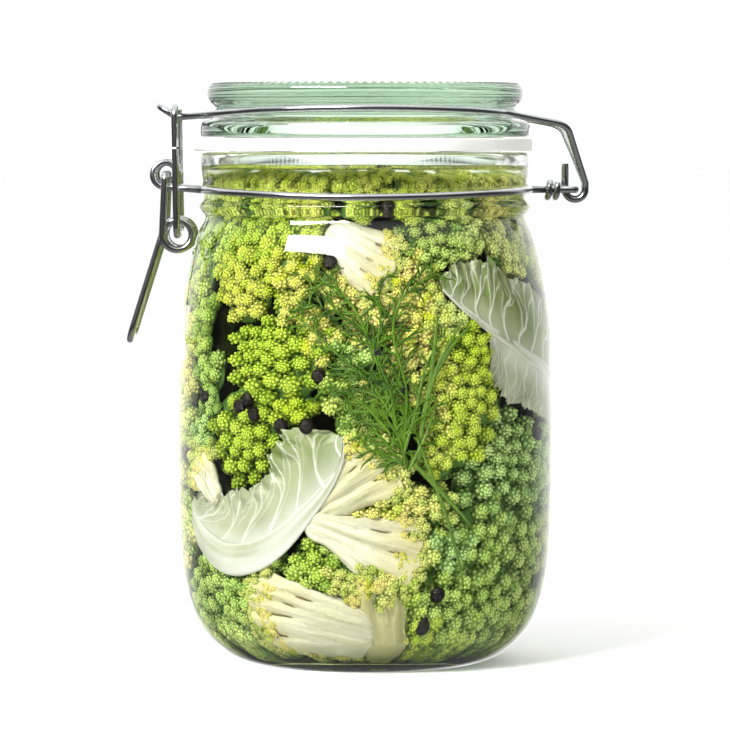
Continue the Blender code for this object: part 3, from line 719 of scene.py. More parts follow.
def make_spiral_tree():
    """Sets pieces on a dome by the golden angle, each facing outwards."""
    tree, given, out = new_group(
        "golden_spiral", "GeometryNodeTree",
        {"Piece": ("Object", None), "Count": ("Int", 50), "Reach": ("Float", 0.004),
         "Height": ("Float", 0.004), "Roundness": ("Float", 1.4), "Size": ("Float", 1.0),
         "Least": ("Float", 0.4), "Seed": ("Int", 1),
         "Label": ("String", "place"), "Skin": ("Material", None)},
        {"Head": "Geometry"},
    )
    index = add(tree, "GeometryNodeInputIndex").outputs[0]
    share = maths(tree, "POWER", maths(tree, "DIVIDE", maths(tree, "ADD", index, 0.6), given["Count"]), 0.72)
    turn = maths(tree, "MULTIPLY", index, GOLDEN)
    cosine, sine = maths(tree, "COSINE", turn), maths(tree, "SINE", turn)
    flat = maths(tree, "MULTIPLY", given["Reach"], share)
    drop = maths(tree, "MULTIPLY", given["Height"], maths(tree, "POWER", share, given["Roundness"]))
    place = add(tree, "ShaderNodeCombineXYZ", {0: maths(tree, "MULTIPLY", flat, cosine),
                                               1: maths(tree, "MULTIPLY", flat, sine),
                                               2: maths(tree, "SUBTRACT", given["Height"], drop)}).outputs[0]
    slope = maths(tree, "DIVIDE", maths(tree, "MULTIPLY", drop, given["Roundness"]), flat)
    facing = add(tree, "ShaderNodeCombineXYZ", {0: maths(tree, "MULTIPLY", slope, cosine),
                                                1: maths(tree, "MULTIPLY", slope, sine), 2: 1.0}).outputs[0]
    turned = add(tree, "FunctionNodeAlignRotationToVector", {"Vector": facing}, axis="Z").outputs[0]
    uneven = add(tree, "FunctionNodeRandomValue", {2: 0.86, 3: 1.12, "Seed": given["Seed"]},
                 data_type="FLOAT").outputs[1]
    grown = fitted(tree, maths(tree, "POWER", share, 0.5), 0.0, 1.0, given["Least"], 1.0)
    size = maths(tree, "MULTIPLY", maths(tree, "MULTIPLY", grown, uneven), given["Size"])
    dots = add(tree, "GeometryNodePoints", {"Count": given["Count"], "Position": place}).outputs[0]
    object_in = add(tree, "GeometryNodeObjectInfo", {"Object": given["Piece"]}).outputs["Geometry"]
    set_out = add(tree, "GeometryNodeInstanceOnPoints",
                  {"Points": dots, "Instance": object_in, "Rotation": turned, "Scale": size}).outputs[0]
    marked = noted(tree, set_out, given["Label"], share, "INSTANCE")
    tree.links.new(finished(tree, marked, given["Skin"]), out["Head"])
    return tree


spiral_tree = make_spiral_tree()
print("tree", spiral_tree.name, "turns by", round(math.degrees(GOLDEN), 2), "degrees")

# %% [markdown]
# ## Bud, cone and head
# The bud is the only shape that is modelled: a small pointed ball of 12 faces, because it is repeated
# thousands of times. It notes its own height, which later paints shade low on each bud, in the gaps between
# buds, while their tips keep the lighter colour.

# %% Growing the cones and the heads
def bud_mesh(sides=6, radius=0.95, foot=-0.5, belly=0.05, top=0.92):
    """A pointed ball, a little wider than high, with its height noted on every point."""
    turn = [2 * math.pi * i / sides for i in range(sides)]
    points = [(0.0, 0.0, foot)] + [(radius * math.cos(a), radius * math.sin(a), belly) for a in turn]
    points.append((0.0, 0.0, top))
    faces = []
    for i in range(sides):
        low, low_next = 1 + i, 1 + (i + 1) % sides
        faces += [(0, low_next, low), (low, low_next, sides + 1)]
    mesh = bpy.data.meshes.new("bud")
    mesh.from_pydata(points, [], faces)
    mesh.attributes.new("bud_height", "FLOAT", "POINT").data.foreach_set("value", [p[2] for p in points])
    return mesh


def as_source(name, mesh):
    """An object for a tree to pick up. It is removed when the heads are grown."""
    made = bpy.data.objects.new(name, mesh)
    scene.collection.objects.link(made)
    return made


green, green_tree, green_shader = new_material("romanesco_green", Roughness=0.36, Specular_IOR_Level=0.1)
bud = as_source("bud", bud_mesh())


def dome_faces(rings, sides):
    """Triangles of a closed dome whose points are its top, then ring after ring, then its foot."""
    faces, rim = [], 1 + (rings - 1) * sides
    for i in range(sides):
        j = (i + 1) % sides
        faces.append((0, 1 + i, 1 + j))
        for k in range(rings - 1):
            low, high = 1 + k * sides, 1 + (k + 1) * sides
            faces += [(low + i, high + i, high + j), (low + i, high + j, low + j)]
        faces.append((rim + i, rim + sides, rim + j))
    return np.array(faces)


def cone_mesh(name, count, height, size, seed, reach=3.6, roundness=1.3, sides=8):
    """Buds in a golden spiral, and the cone's own flesh up to half their height, so they are bumps on it."""
    buds = grow(name, spiral_tree, Piece=bud, Count=count, Reach=reach * MM, Height=height * MM,
                Roundness=roundness, Size=size * MM, Least=0.40, Seed=seed, Label="in_cone", Skin=green)
    shares = (0.0, 0.35, 0.7, 1.0, 1.22)
    points, kept = [(0.0, 0.0, height + 0.10)], [0.0]
    for share in shares[1:]:
        for k in range(sides):
            a = 2 * math.pi * (k + 3 * share) / sides
            up = height * (1 - share**roundness) + 0.34 * size * (0.4 + 0.6 * share) * (share < 1.1)
            points.append((reach * share * math.cos(a), reach * share * math.sin(a), up))
            kept.append(share)
    points.append((0.0, 0.0, -2.4))
    # The flesh carries a low bud height, so it takes the painted shade of the gaps between buds, and near its
    # foot that of the creases.
    marks = {"bud_height": np.full(len(points), 0.1), "in_cone": np.array(kept + [1.2])}
    flesh = (np.array(points), dome_faces(len(shares) - 1, sides), marks)
    whole = assembled(name, [pulled_apart(buds, ("bud_height", "in_cone")), flesh])
    whole.transform(Matrix.Scale(MM, 4))
    return whole


HEAD_RISE = 0.26
CONE_OVERHANG = 2.6


def head_mesh(name, cone, count, reach, seed, size):
    """Cones in a golden spiral on a low dome."""
    return grow(name, spiral_tree, Piece=cone, Count=count, Reach=reach * MM, Height=HEAD_RISE * reach * MM,
                Roundness=2.1, Size=size, Least=0.52, Seed=seed, Label="in_head", Skin=green)


# each cone: buds, height, bud size; each head: cones, reach, which cone, cone size
cone_kinds = [(27, 5.0, 1.10), (32, 5.4, 1.02), (17, 4.8, 1.28)]
head_kinds = [(7, 6.5, 0, 0.92), (11, 9.0, 1, 0.92), (17, 12.0, 0, 0.92), (26, 15.0, 1, 0.92),
              (38, 18.5, 0, 0.92), (17, 13.0, 2, 1.08), (7, 5.6, 2, 0.92)]
FINE_HEADS, COARSE_HEAD, CURD_TUFT = 5, 5, 6
cones = [as_source(f"cone_{i}", cone_mesh(f"cone_{i}", count, height, size, i))
         for i, (count, height, size) in enumerate(cone_kinds)]
heads = []
for i, (count, reach, which, size) in enumerate(head_kinds):
    made = head_mesh(f"head_{i}", cones[which], count, reach, 20 + i, size)
    heads.append(pulled_apart(made, ("bud_height", "in_cone", "in_head")))
    print(f"head of {count} cones, {2 * reach:.0f} mm across: {len(heads[-1][1])} triangles")
cone_sizes = [(len(cone.data.vertices), len(cone.data.polygons)) for cone in cones]
for spare in [bud, *cones]:
    bpy.data.objects.remove(spare)

# %% [markdown]
# ## Packing the heads
# Each head is set on the map with its place, size, lean and colours: how far from yellow green to deep
# green, and how pale. Buds that end up deep behind the front ones are left out, since nobody can see them.

# %% One head on the wall
def dome(reach, height, rings=7, sides=18):
    """The flesh under the cones: a low closed dome, as points and triangles."""
    points = [(0.0, 0.0, height)]
    for k in range(1, rings + 1):
        share = k / rings
        for i in range(sides):
            a = 2 * math.pi * i / sides
            up = height * (1 - share**2.1)
            points.append((reach * share * math.cos(a), reach * share * math.sin(a), up))
    points.append((0.0, 0.0, -0.4 * height))
    return np.array(points), dome_faces(rings, sides)


def strip_outline(rib, edge):
    """The outline on the map of what lies between two lines of (azimuth, up, in) marks."""
    marks = list(rib) + list(reversed(edge))
    return np.array([(math.radians(a) * MAP_R, up) for a, up, _ in marks])


def fan_outline(azimuth, up, heading, reach, stem, spread, **_):
    """The outline on the map of a cut piece, from the values that fan() takes."""
    a = math.radians(heading)
    waist = (reach * 0.45, stem / 2 + (spread - stem) * 0.15)
    half = [(0, stem / 2), waist, (reach, spread / 2)]
    corners = [(out, -side) for out, side in half] + half[::-1]
    return np.array([(math.radians(azimuth) * MAP_R + out * math.sin(a) + side * math.cos(a),
                      up + out * math.cos(a) - side * math.sin(a)) for out, side in corners])


def depth_within(outline, places):
    """How far each place (along, up) lies inside the closed outline, and less than nothing outside it."""
    x, y = places[:, 0], places[:, 1]
    found, nearest = np.zeros(len(places), bool), np.full(len(places), np.inf)
    for (x0, y0), (x1, y1) in zip(outline, np.roll(outline, -1, 0)):
        if y0 != y1:
            found ^= ((y0 > y) != (y1 > y)) & (x < (x1 - x0) * (y - y0) / (y1 - y0) + x0)
        long = (x1 - x0) ** 2 + (y1 - y0) ** 2 + 1e-9
        at = np.clip(((x - x0) * (x1 - x0) + (y - y0) * (y1 - y0)) / long, 0, 1)
        nearest = np.minimum(nearest, np.hypot(x - x0 - at * (x1 - x0), y - y0 - at * (y1 - y0)))
    return np.where(found, nearest, -nearest)


ROOM_DEPTH, ROOM_EDGE = 4.5, 1.6
CONE_TOP = 4.0


def make_room(flat, outlines):
    """Presses what lies behind a leaf or a cut piece back from the glass. Gives each point's share of it."""
    room = np.zeros(len(flat))
    low, high = flat[:, :2].min(0) - 2.0, flat[:, :2].max(0) + 2.0
    for outline in outlines:
        if (outline.max(0) > low).all() and (outline.min(0) < high).all():
            within = (depth_within(outline, flat) + ROOM_EDGE) / (2 * ROOM_EDGE)
            room = np.maximum(room, np.clip(within, 0, 1))
    flat[:, 2] += ROOM_DEPTH * room * room * (3 - 2 * room)
    return room


def with_flesh(kept, buds, flesh, tone, cream):
    """The marks of a head's points: those of the buds, then those of the flesh, whose marks paint it in deep
    shade.
    """
    marks = {"bud_height": -0.6, "in_cone": 1.4, "in_head": 0.5}
    values = {label: np.concatenate([value, np.full(flesh, marks[label])]) for label, value in kept.items()}
    values["tone"] = np.concatenate([np.full(buds, tone), np.full(flesh, 0.8)])
    values["cream"] = np.concatenate([np.full(buds, cream), np.zeros(flesh)])
    return values


def placed_head(azimuth, up, radius, lean, turn, tone, cream, tall=1.0, sink=None, press=0.6, deepest=9.0,
                size=None, outlines=()):
    """One head as a part for assembled(). radius picks the nearest grown head, which is scaled to fit."""
    if size is None:
        size = int(np.argmin([abs(kind[1] + CONE_OVERHANG - radius) for kind in head_kinds[:FINE_HEADS]]))
    points, faces, kept = heads[size]
    _, reach, which, _ = head_kinds[size]
    factor = radius / (reach + CONE_OVERHANG)
    spin = (Matrix.Rotation(math.radians(lean[0]), 3, "Y") @ Matrix.Rotation(math.radians(-lean[1]), 3, "X")
            @ Matrix.Rotation(math.radians(turn), 3, "Z"))
    sink = (reach * HEAD_RISE + CONE_TOP) * factor - press if sink is None else sink

    def on_wall(shape):
        """The shape's points turned, scaled and set at their place on the map."""
        local = shape * factor @ np.array(spin).T
        along = math.radians(azimuth) * MAP_R + local[:, 0]
        return np.stack([along, up + local[:, 1] * tall, sink - local[:, 2]], 1)

    cone_points, cone_faces = cone_sizes[which]
    flat = on_wall(points)
    near = flat[:, 2].reshape(-1, cone_points).mean(1) < deepest
    seen = near & (make_room(flat, outlines).reshape(-1, cone_points).min(1) < 0.9)
    shown_points = np.repeat(seen, cone_points)
    number = np.cumsum(shown_points) - 1
    count = int(shown_points.sum())
    flesh, flesh_faces = dome(reach + 0.8, reach * HEAD_RISE - 0.8)
    kept = {label: value[shown_points] for label, value in kept.items()}
    values = with_flesh(kept, count, len(flesh), tone, cream)
    faces = np.concatenate([number[faces[np.repeat(seen, cone_faces)]], flesh_faces + count])
    flesh = on_wall(flesh)
    make_room(flesh, outlines)
    return rolled(np.concatenate([flat[shown_points], flesh])), faces, values


print("a head gives way by up to", ROOM_DEPTH, "mm behind a leaf")

# %% [markdown]
# ## What lies in front
# Leaves and cut pieces lie against the glass, in front of the heads. Their lines are drawn on the map first,
# so that the heads behind them can make room instead of growing through them.

# %% The lines of the leaves and the cut pieces
# for each leaf, its rib and then its edge, as marks of (azimuth, up, in)
left_leaf_lines = (
    [(-7, 69, 0.8), (-8, 62, 0.7), (-13, 54, 0.6), (-20, 46.5, 0.5), (-28, 39.5, 0.5), (-38, 34.5, 0.6),
     (-50, 33, 0.8), (-61, 36, 1.2), (-72, 42, 2.5), (-76, 48, 4)],
    [(-12, 71, 2), (-27, 70.5, 1), (-30, 65, 1), (-33, 58, 1), (-40, 54, 2), (-48, 52.5, 2), (-56, 51, 2.5),
     (-64, 51, 3), (-71, 52, 4)],
)
right_leaf_lines = (
    [(27, 110.5, 1.0), (34, 105, 0.7), (43, 99.5, 0.6), (51, 96, 0.6), (63, 91, 0.8), (77, 87, 1.5),
     (92, 82, 2)],
    [(26, 114, 2), (33, 117, 1.5), (40, 118.5, 1), (49, 117, 1), (61, 113, 1.5), (77, 107, 2), (95, 97, 2)],
)
lower_fold_lines = (
    [(45, 98, 1.6), (55, 93.5, 1.4), (65, 89.5, 1.4), (77, 86, 1.8), (92, 80, 2.2)],
    [(45, 90, 3.0), (47, 83, 2.2), (54, 78, 1.5), (66, 75, 1.5), (90, 70, 2.5)],
)
back_leaf_lines = (
    [(200, 30, 1.0), (188, 42, 0.8), (178, 58, 0.7), (174, 76, 0.8), (176, 94, 1.5), (184, 108, 2.5)],
    [(212, 46, 2), (210, 58, 1.5), (207, 72, 1.2), (204, 86, 1.5), (200, 100, 2), (192, 112, 3)],
)
cut_fans = [
    # the piece right of the left leaf, and the one above it
    dict(azimuth=-21, up=46, heading=112, reach=35, stem=7, spread=25, branches=4, seed=3),
    dict(azimuth=-19, up=46, heading=54, reach=29, stem=9, spread=22, branches=3, seed=4, olive=0.45,
         inset=0.9),
    # bottom left, bottom middle
    dict(azimuth=3, up=13, heading=281, reach=40, stem=14, spread=23, branches=5, seed=5, olive=0.2),
    dict(azimuth=10, up=5, heading=345, reach=26, stem=14, spread=17, branches=3, seed=6, olive=0.9,
         inset=1.8),
    # top middle
    dict(azimuth=-14, up=127, heading=122, reach=23, stem=10, spread=21, branches=4, seed=7),
    # left edge
    dict(azimuth=-56, up=49, heading=318, reach=15, stem=6, spread=15, branches=3, seed=9),
    dict(azimuth=-84, up=104, heading=185, reach=22, stem=8, spread=14, branches=3, seed=10, inset=0.8),
    # behind
    dict(azimuth=150, up=60, heading=30, reach=30, stem=8, spread=24, branches=5, seed=11),
    dict(azimuth=220, up=95, heading=200, reach=28, stem=8, spread=22, branches=5, seed=12),
    dict(azimuth=118, up=110, heading=150, reach=24, stem=7, spread=18, branches=4, seed=13),
]
print(len(cut_fans), "cut pieces")

# %% [markdown]
# ## Heads at the front
# Each head's place is written down one by one, because the eye notices where the big ones lie: two large
# heads on the left below a pale cluster, a cut one right of the dill, a deep green one low on the right, and
# small florets between. Turn and lean are drawn at random from a fixed seed. Those at the brine's surface
# also vary in height and size. The heads are shared out over three pieces, because a single one would be too
# heavy.

# %% The front's heads
front_marks = [
    # azimuth, up, radius, tone, cream, tall
    (-53, 116, 10, 0.05, 0.35, 1), (-46, 108, 10, 0.0, 0.5, 0.85), (-36, 117, 10, 0.05, 0.35, 1),
    (-23, 114, 11, 0.0, 0.6, 0.85), (-48, 125, 10, 0.25, 0, 1), (-34, 126, 9, 0.2, 0, 1),
    (-60, 123, 8, 0.3, 0, 1), (-20, 125, 8, 0.2, 0.2, 1), (-34, 93, 20.5, 0.2, 0, 0.78),
    (-15, 97, 8, 0.05, 0.7, 1), (-24, 104, 7, 0.1, 0.6, 0.7), (-68, 103, 7, 0.4, 0, 1),
    (-66, 94, 6, 0.4, 0, 1), (-62, 86, 7, 0.5, 0, 1), (-60, 78, 5, 0.6, 0, 1), (-74, 112, 8, 0.4, 0.2, 1),
    (-76, 122, 8, 0.4, 0, 1), (-78, 98, 8, 0.3, 0.6, 1), (-79, 84, 8, 0.2, 0.8, 1),
    (-80, 70, 8, 0.4, 0.5, 1), (-92, 108, 10, 0.2, 0.9, 1), (-92, 90, 10, 0.1, 1.0, 1),
    (-92, 72, 10, 0.2, 0.9, 1), (-92, 52, 11, 0.2, 1.0, 1), (-90, 33, 11, 0.4, 0.5, 1),
    (-43, 67, 16, 0.2, 0, 0.95), (-25, 77, 8, 0.1, 0.1, 0.8), (-66, 69, 7, 0.7, 0, 1),
    (-70, 60, 7, 0.5, 0.4, 1),
    # neck
    (-42, 136, 8, 0.3, 0, 1), (-22, 135, 8, 0.2, 0.2, 1), (-2, 136, 8, 0.3, 0, 1), (16, 136, 8, 0.2, 0.1, 1),
    (38, 136, 8, 0.4, 0, 1), (-63, 135, 8, 0.35, 0, 1), (58, 135, 8, 0.35, 0.5, 1),
    (80, 134, 8, 0.5, 0.4, 1), (-84, 134, 8, 0.4, 0.2, 1), (-52, 144, 7, 0.1, 0, 1),
    (-32, 144, 7, 0.0, 0.1, 1), (-11, 144, 7, 0.1, 0, 1), (8, 144, 7, 0.0, 0.1, 1),
    (27, 144, 7, 0.1, 0.2, 1), (48, 144, 7, 0.2, 0.3, 1), (70, 143, 7, 0.3, 0.5, 1),
    (-74, 143, 7, 0.2, 0.1, 1), (-63, 141, 6, 0.2, 0, 1), (-42, 142, 6, 0.1, 0.1, 1),
    (-21, 141, 6, 0.1, 0, 1), (-1, 142, 6, 0, 0.2, 1), (18, 141, 6, 0.1, 0, 1), (38, 142, 6, 0.2, 0.3, 1),
    (59, 141, 6, 0.2, 0.4, 1), (82, 142, 6, 0.3, 0.3, 1),
    # upper right
    (26, 123, 12, 0.5, 0.1, 0.8), (45, 126, 9, 0.7, 0.4, 1), (58, 122, 8, 0.7, 0.6, 1),
    (72, 121, 8, 0.4, 0.3, 1), (86, 116, 9, 0.4, 0.6, 1), (14, 115, 8, 0, 0.95, 1),
    (18, 102, 9, 0, 0.9, 0.9), (13, 93, 8, 0.2, 0.8, 1), (0, 103, 9, 0.1, 0.9, 1), (8, 108, 8, 0, 0.95, 1),
    (3, 45, 8, 0.2, 0.8, 1), (-22, 25, 9, 0.4, 0.1, 1), (2, 55, 7, 0.3, 0.6, 1), (24, 109, 8, 0.3, 0.5, 1),
    (40, 121, 8, 0.6, 0.3, 1), (63, 117, 8, 0.6, 0.5, 1), (28, 99, 8, 0.3, 0.5, 1),
    (-9, 111, 7, 0.1, 0.8, 1), (30, 103, 7, 0.6, 0.3, 1), (-4, 92, 8, 0.6, 0, 1), (5, 82, 8, 0.1, 0.8, 1),
    (-8, 81, 8, 0.4, 0.2, 1), (15, 82, 7, 0.1, 0.7, 1), (-2, 73, 8, 0.5, 0.1, 1),
    # the cut head right of the dill
    (40, 93, 12, 0.12, 0.1, 0.85), (37, 80, 12, 0.12, 0.2, 0.9), (33, 68, 11, 0.15, 0.15, 0.85),
    (26, 86, 8, 0.1, 0.5, 1), (25, 74, 8, 0.1, 0.6, 1), (24, 62, 7, 0.2, 0.3, 0.9),
    # lower right
    (52, 62, 22, 0.75, 0, 0.85), (76, 58, 14, 0.75, 0, 1), (46, 38, 14, 0.55, 0, 1),
    (68, 36, 13, 0.6, 0.1, 1), (31, 37, 9, 0.8, 0, 1), (17, 50, 9, 0.3, 0.7, 0.8),
    (25, 49, 8, 0.45, 0.3, 0.8), (18, 37, 9, 0.45, 0.35, 1), (16, 22, 9, 0.35, 0.1, 1),
    (32, 21, 13, 0.5, 0, 1), (50, 20, 12, 0.55, 0, 1), (22, 13, 8, 0.2, 0.1, 1), (66, 18, 11, 0.6, 0.2, 1),
    (90, 40, 12, 0.5, 0.4, 1), (90, 62, 12, 0.6, 0.1, 1), (90, 20, 11, 0.6, 0, 1), (86, 80, 10, 0.5, 0.5, 1),
    (92, 98, 10, 0.4, 0.6, 1),
    # lower left
    (-19, 33, 9, 0.35, 0, 0.9), (-12, 40, 6, 0.5, 0.2, 1), (-37, 31, 10, 0.45, 0, 0.9),
    (-57, 31, 12, 0.55, 0, 1), (-52, 19, 12, 0.55, 0, 1), (-70, 22, 10, 0.6, 0.1, 1),
    (-38, 13, 9, 0.4, 0.4, 0.8), (-22, 11, 8, 0.3, 0.9, 0.8), (-6, 10, 8, 0.2, 1.0, 0.8),
    (9, 10, 8, 0.2, 0.9, 0.8), (-58, 11, 9, 0.5, 0.2, 1), (-80, 14, 9, 0.5, 0.3, 1),
    (80, 12, 10, 0.5, 0.2, 1), (40, 10, 9, 0.4, 0.1, 1), (0, 26, 8, 0.3, 0.9, 0.8),
    (-14, 60, 7, 0.4, 0.5, 1), (-76, 42, 9, 0.5, 0.3, 1), (2, 36, 8, 0.3, 0.6, 0.8),
    (-8, 28, 7, 0.4, 0.6, 0.8),
]
CUT_HEAD_TONES = (0.12, 0.15)  # only the cut head has these, and it is pressed flatter against the glass
NECK_FROM_Z, SURFACE_FROM_Z, NECK_PAINTED_HAZE, SNUG = 134, 142, 0.3, 1.12
outlines = [strip_outline(*lines) for lines in (left_leaf_lines, right_leaf_lines, lower_fold_lines)]
outlines += [fan_outline(**values) for values in cut_fans]
draw = random.Random(3)
shown = []
for azimuth, up, radius, tone, cream, tall in front_marks:
    at_surface = up > SURFACE_FROM_Z
    # Heads in the neck are painted paler, a painted haze that stands for the reflections in the neck's glass.
    pale = cream + (NECK_PAINTED_HAZE if up > NECK_FROM_Z else 0.0)
    up = up + (draw.uniform(-3.5, 1.0) if at_surface else 0.0)
    radius = SNUG * radius * (draw.uniform(0.85, 1.35) if at_surface else 1.0)
    turn, lean = draw.uniform(0, 360), (draw.uniform(-12, 12), draw.uniform(-12, 12))
    shown.append(placed_head(azimuth, up, radius, lean, turn, tone, pale, tall=tall, outlines=outlines,
                             press=2.4 if tone in CUT_HEAD_TONES else 0.6))
LEFT_COUNT, UPPER_COUNT = 50, 90
front_pieces = {"romanesco_upper_left": shown[:LEFT_COUNT],
                "romanesco_upper_right": shown[LEFT_COUNT:UPPER_COUNT],
                "romanesco_lower": shown[UPPER_COUNT:]}
for name, parts in front_pieces.items():
    in_jar(name, assembled(name, parts), green, *(["pickles"] if name == "romanesco_upper_left" else []))
print([sum(len(faces) for _, faces, _ in parts) for parts in front_pieces.values()], "triangles at the front")

# %% [markdown]
# ## Heads round the back and on top
# The back of the jar is packed the same way, but with heads of fewer and larger buds, set row by row with a
# seeded scatter. A few more lie face up under the surface of the brine, where an open lid lets one look in.

# %% Heads behind and above
draw = random.Random(12)
BACK_ROWS = BACK_COLUMNS = 7
behind = []
behind_outlines = [strip_outline(*back_leaf_lines)] + [fan_outline(**values) for values in cut_fans[-3:]]
for row, up in enumerate(np.linspace(17, 132, BACK_ROWS)):
    for column in range(BACK_COLUMNS):
        azimuth = 103 + 25.5 * (column + 0.5 * (row % 2)) + draw.uniform(-4, 4)
        up_here, radius, turn = up + draw.uniform(-3, 3), draw.uniform(12.5, 15.0), draw.uniform(0, 360)
        lean = (draw.uniform(-15, 15), draw.uniform(-15, 15))
        tone, cream = draw.choice([0.0, 0.2, 0.5, 0.7]), draw.choice([0.0, 0.0, 0.3, 0.9])
        behind.append(placed_head(azimuth, up_here, radius, lean, turn, tone, cream, size=COARSE_HEAD,
                                  outlines=behind_outlines))
TOP_SPOTS = [(0, 0), (18, 6), (-16, 10), (2, 22), (-6, -20), (14, -17), (-22, -9), (22, 22), (-20, 26),
             (28, -6)]
TOP_SCALE, TOP_Z, MOUTH_R = 0.9, 132.5, 39.0
on_top = []
for i, (across, back) in enumerate(TOP_SPOTS):
    points, faces, kept = heads[COARSE_HEAD]
    flesh, flesh_faces = dome(14.5, 2.6)
    spin = np.array(Matrix.Rotation(i * 1.1, 3, "Z")).T
    spot = (across * TOP_SCALE, back * TOP_SCALE, TOP_Z + 0.7 * (i % 3))
    inside = np.concatenate([points, flesh]) * TOP_SCALE @ spin + spot
    far = np.hypot(inside[:, 0], inside[:, 1])
    inside[:, :2] *= np.minimum(1.0, MOUTH_R / np.maximum(far, 1.0))[:, None]
    values = with_flesh(kept, len(points), len(flesh), 0.1 * (i % 4), 0.4 * (i % 2))
    on_top.append((inside * MM, np.concatenate([faces, flesh_faces + len(points)]), values))
LOW_COUNT = 25
back_pieces = {"romanesco_behind_low": behind[:LOW_COUNT], "romanesco_behind_high": behind[LOW_COUNT:],
               "romanesco_on_top": on_top}
for name, parts in back_pieces.items():
    in_jar(name, assembled(name, parts), green)
print(sum(len(faces) for _, faces, _ in behind + on_top), "triangles of romanesco behind and on top")

# %% [markdown]
# ## Romanesco skin
# The buds are waxy and wet: yellow green where light reached them, deeper in the shade, cream where the head
# was cut. The marks that the spiral left on every point, how high on the bud, how far from the cone's tip
# and from the head's tip, decide the colour: painted shade darkens the gaps between buds, the creases
# between cones and the rims of heads. The mottling group keeps any two buds from being alike.

# %% Romanesco material
tree, shader = green_tree, green_shader
tone, cut = mark(tree, "tone"), mark(tree, "cream")
shade = mottled(tree, shader, paint(172, 194, 2), paint(206, 216, 30), 160.0, 1400.0, 0.00010)
deep = mixed(tree, shade.outputs["Patches"], paint(152, 188, 124), paint(200, 226, 166))
skin = mixed(tree, tone, shade.outputs["Color"], deep)
pale = maths(tree, "MULTIPLY", cut, fitted(tree, shade.outputs["Patches"], 0.05, 0.45))
skin = mixed(tree, pale, skin, paint(236, 226, 146))
tip = fitted(tree, mark(tree, "in_cone"), 0.05, 0.6, 0.5, 0.0)
skin = mixed(tree, tip, skin, mixed(tree, tone, paint(190, 210, 16), paint(200, 222, 150)))
# Painted shade: the lower part of every bud, in the gaps between buds, is darkened.
gap_shade = fitted(tree, mark(tree, "bud_height"), 0.1, 0.65, 0.6, 0.0)
gap_shade_colour = mixed(tree, tone, paint(98, 134, 0), paint(96, 136, 62))
skin = mixed(tree, gap_shade, skin, mixed(tree, cut, gap_shade_colour, paint(186, 160, 82)))
# Painted shade: each head is darkened towards its rim, less where it was cut.
rim = maths(tree, "MULTIPLY", fitted(tree, mark(tree, "in_head"), 0.62, 1.0, 0.0, 0.55),
            fitted(tree, cut, 0.0, 1.0, 1.0, 0.3))
skin = mixed(tree, rim, skin, mixed(tree, tone, paint(84, 112, 2), paint(84, 124, 56)))
# Painted shade: the creases at the foot of each cone are darkened.
crease_shade = maths(tree, "MULTIPLY", fitted(tree, mark(tree, "in_cone"), 0.55, 1.05, 0.0, 0.9),
               fitted(tree, cut, 0.0, 1.0, 1.0, 0.55))
skin = mixed(tree, crease_shade, skin, mixed(tree, tone, paint(66, 94, 2), paint(60, 94, 36)))
tree.links.new(skin, shader.inputs["Base Color"])
print("romanesco material", len(tree.nodes), "nodes")

# %% [markdown]
# ## The imported middle
# Nobody sees the middle of a full jar, only that there is no daylight through it. A dark uneven mass a
# little behind the outer pieces does that, turned on the lathe and then roughened with noise. Its near
# black colour is painted shade.

# %% The middle
BEHIND_WALL = 8.0
middle_side = [(float(np.interp(z, WALL_HEIGHTS, WALL_RADII)) - BEHIND_WALL, float(z))
               for z in np.linspace(132.0, 9.5, 60)]
middle_profile = [(0.0, 134.0), (30.0, 134.0)] + middle_side + [(0.0, 8.5)]
middle_mesh = lathe("packed_middle", middle_profile, 120)
for vertex in middle_mesh.vertices:
    flat = Vector((vertex.co.x, vertex.co.y, 0.0))
    if flat.length > 0.005:
        vertex.co += flat.normalized() * noise.noise(vertex.co * 160.0) * 2.6 * MM
        vertex.co.z += noise.noise(vertex.co * 120.0 + Vector((7.0, 0.0, 0.0))) * 1.2 * MM
shade_dark, tree, shader = new_material("shaded_middle", Specular_IOR_Level=0.0)
# Near black: the painted shade of the packed middle.
mottled(tree, shader, paint(10, 12, 5), paint(30, 36, 14), 140.0, 900.0, 0.0003)
in_jar("packed_middle", middle_mesh, shade_dark)

# %% [markdown]
# ## Brine
# The brine fills what is left. It is one lathe shape that reaches just into the glass: if it stopped short,
# a film of air would show as a mirror, and where the two overlap the sight line bends as it does from glass
# to water. At the top it climbs the wall a little, as water does.

# %% Brine
INTO_GLASS = 0.4
climb = [(0.0, 0.0), (38.5, 0.0), (40.8, 0.25), (41.8, 0.9), (42.55, 1.9)]
brine_profile = [(r, BRINE_Z + rise) for r, rise in climb]
brine_profile += [(r + INTO_GLASS, z) for r, z in reversed(jar_inside[2:-1]) if z < BRINE_Z - 1.0]
brine_profile += [(33.0, 4.3), (20.0, 5.0), (0.0, 5.7)]
in_jar("brine", lathe("brine", eased(brine_profile), ROUND_STEPS), brine_water)

# %% [markdown]
# ## Stems and threads
# Ribs of leaves, stalks and the threads of dill are all tubes that taper. One helper sweeps a round or
# flattened section along a path on the map and gives it back as a part.

# %% Tapered tubes
def smooth_path(marks, count):
    """A smooth line through the marks, as count points."""
    marks = np.asarray(marks, float)
    knots = np.linspace(0.0, 1.0, len(marks))
    t = np.linspace(0.0, 1.0, count)
    step = np.gradient(marks, knots, axis=0) if len(marks) > 2 else np.repeat((marks[1:] - marks[:1]), 2, 0)
    k = np.clip(np.searchsorted(knots, t, side="right") - 1, 0, len(marks) - 2)
    h = (knots[k + 1] - knots[k])[:, None]
    s = ((t - knots[k])[:, None]) / h
    return ((2 * s**3 - 3 * s**2 + 1) * marks[k] + (s**3 - 2 * s**2 + s) * h * step[k]
            + (3 * s**2 - 2 * s**3) * marks[k + 1] + (s**3 - s**2) * h * step[k + 1])


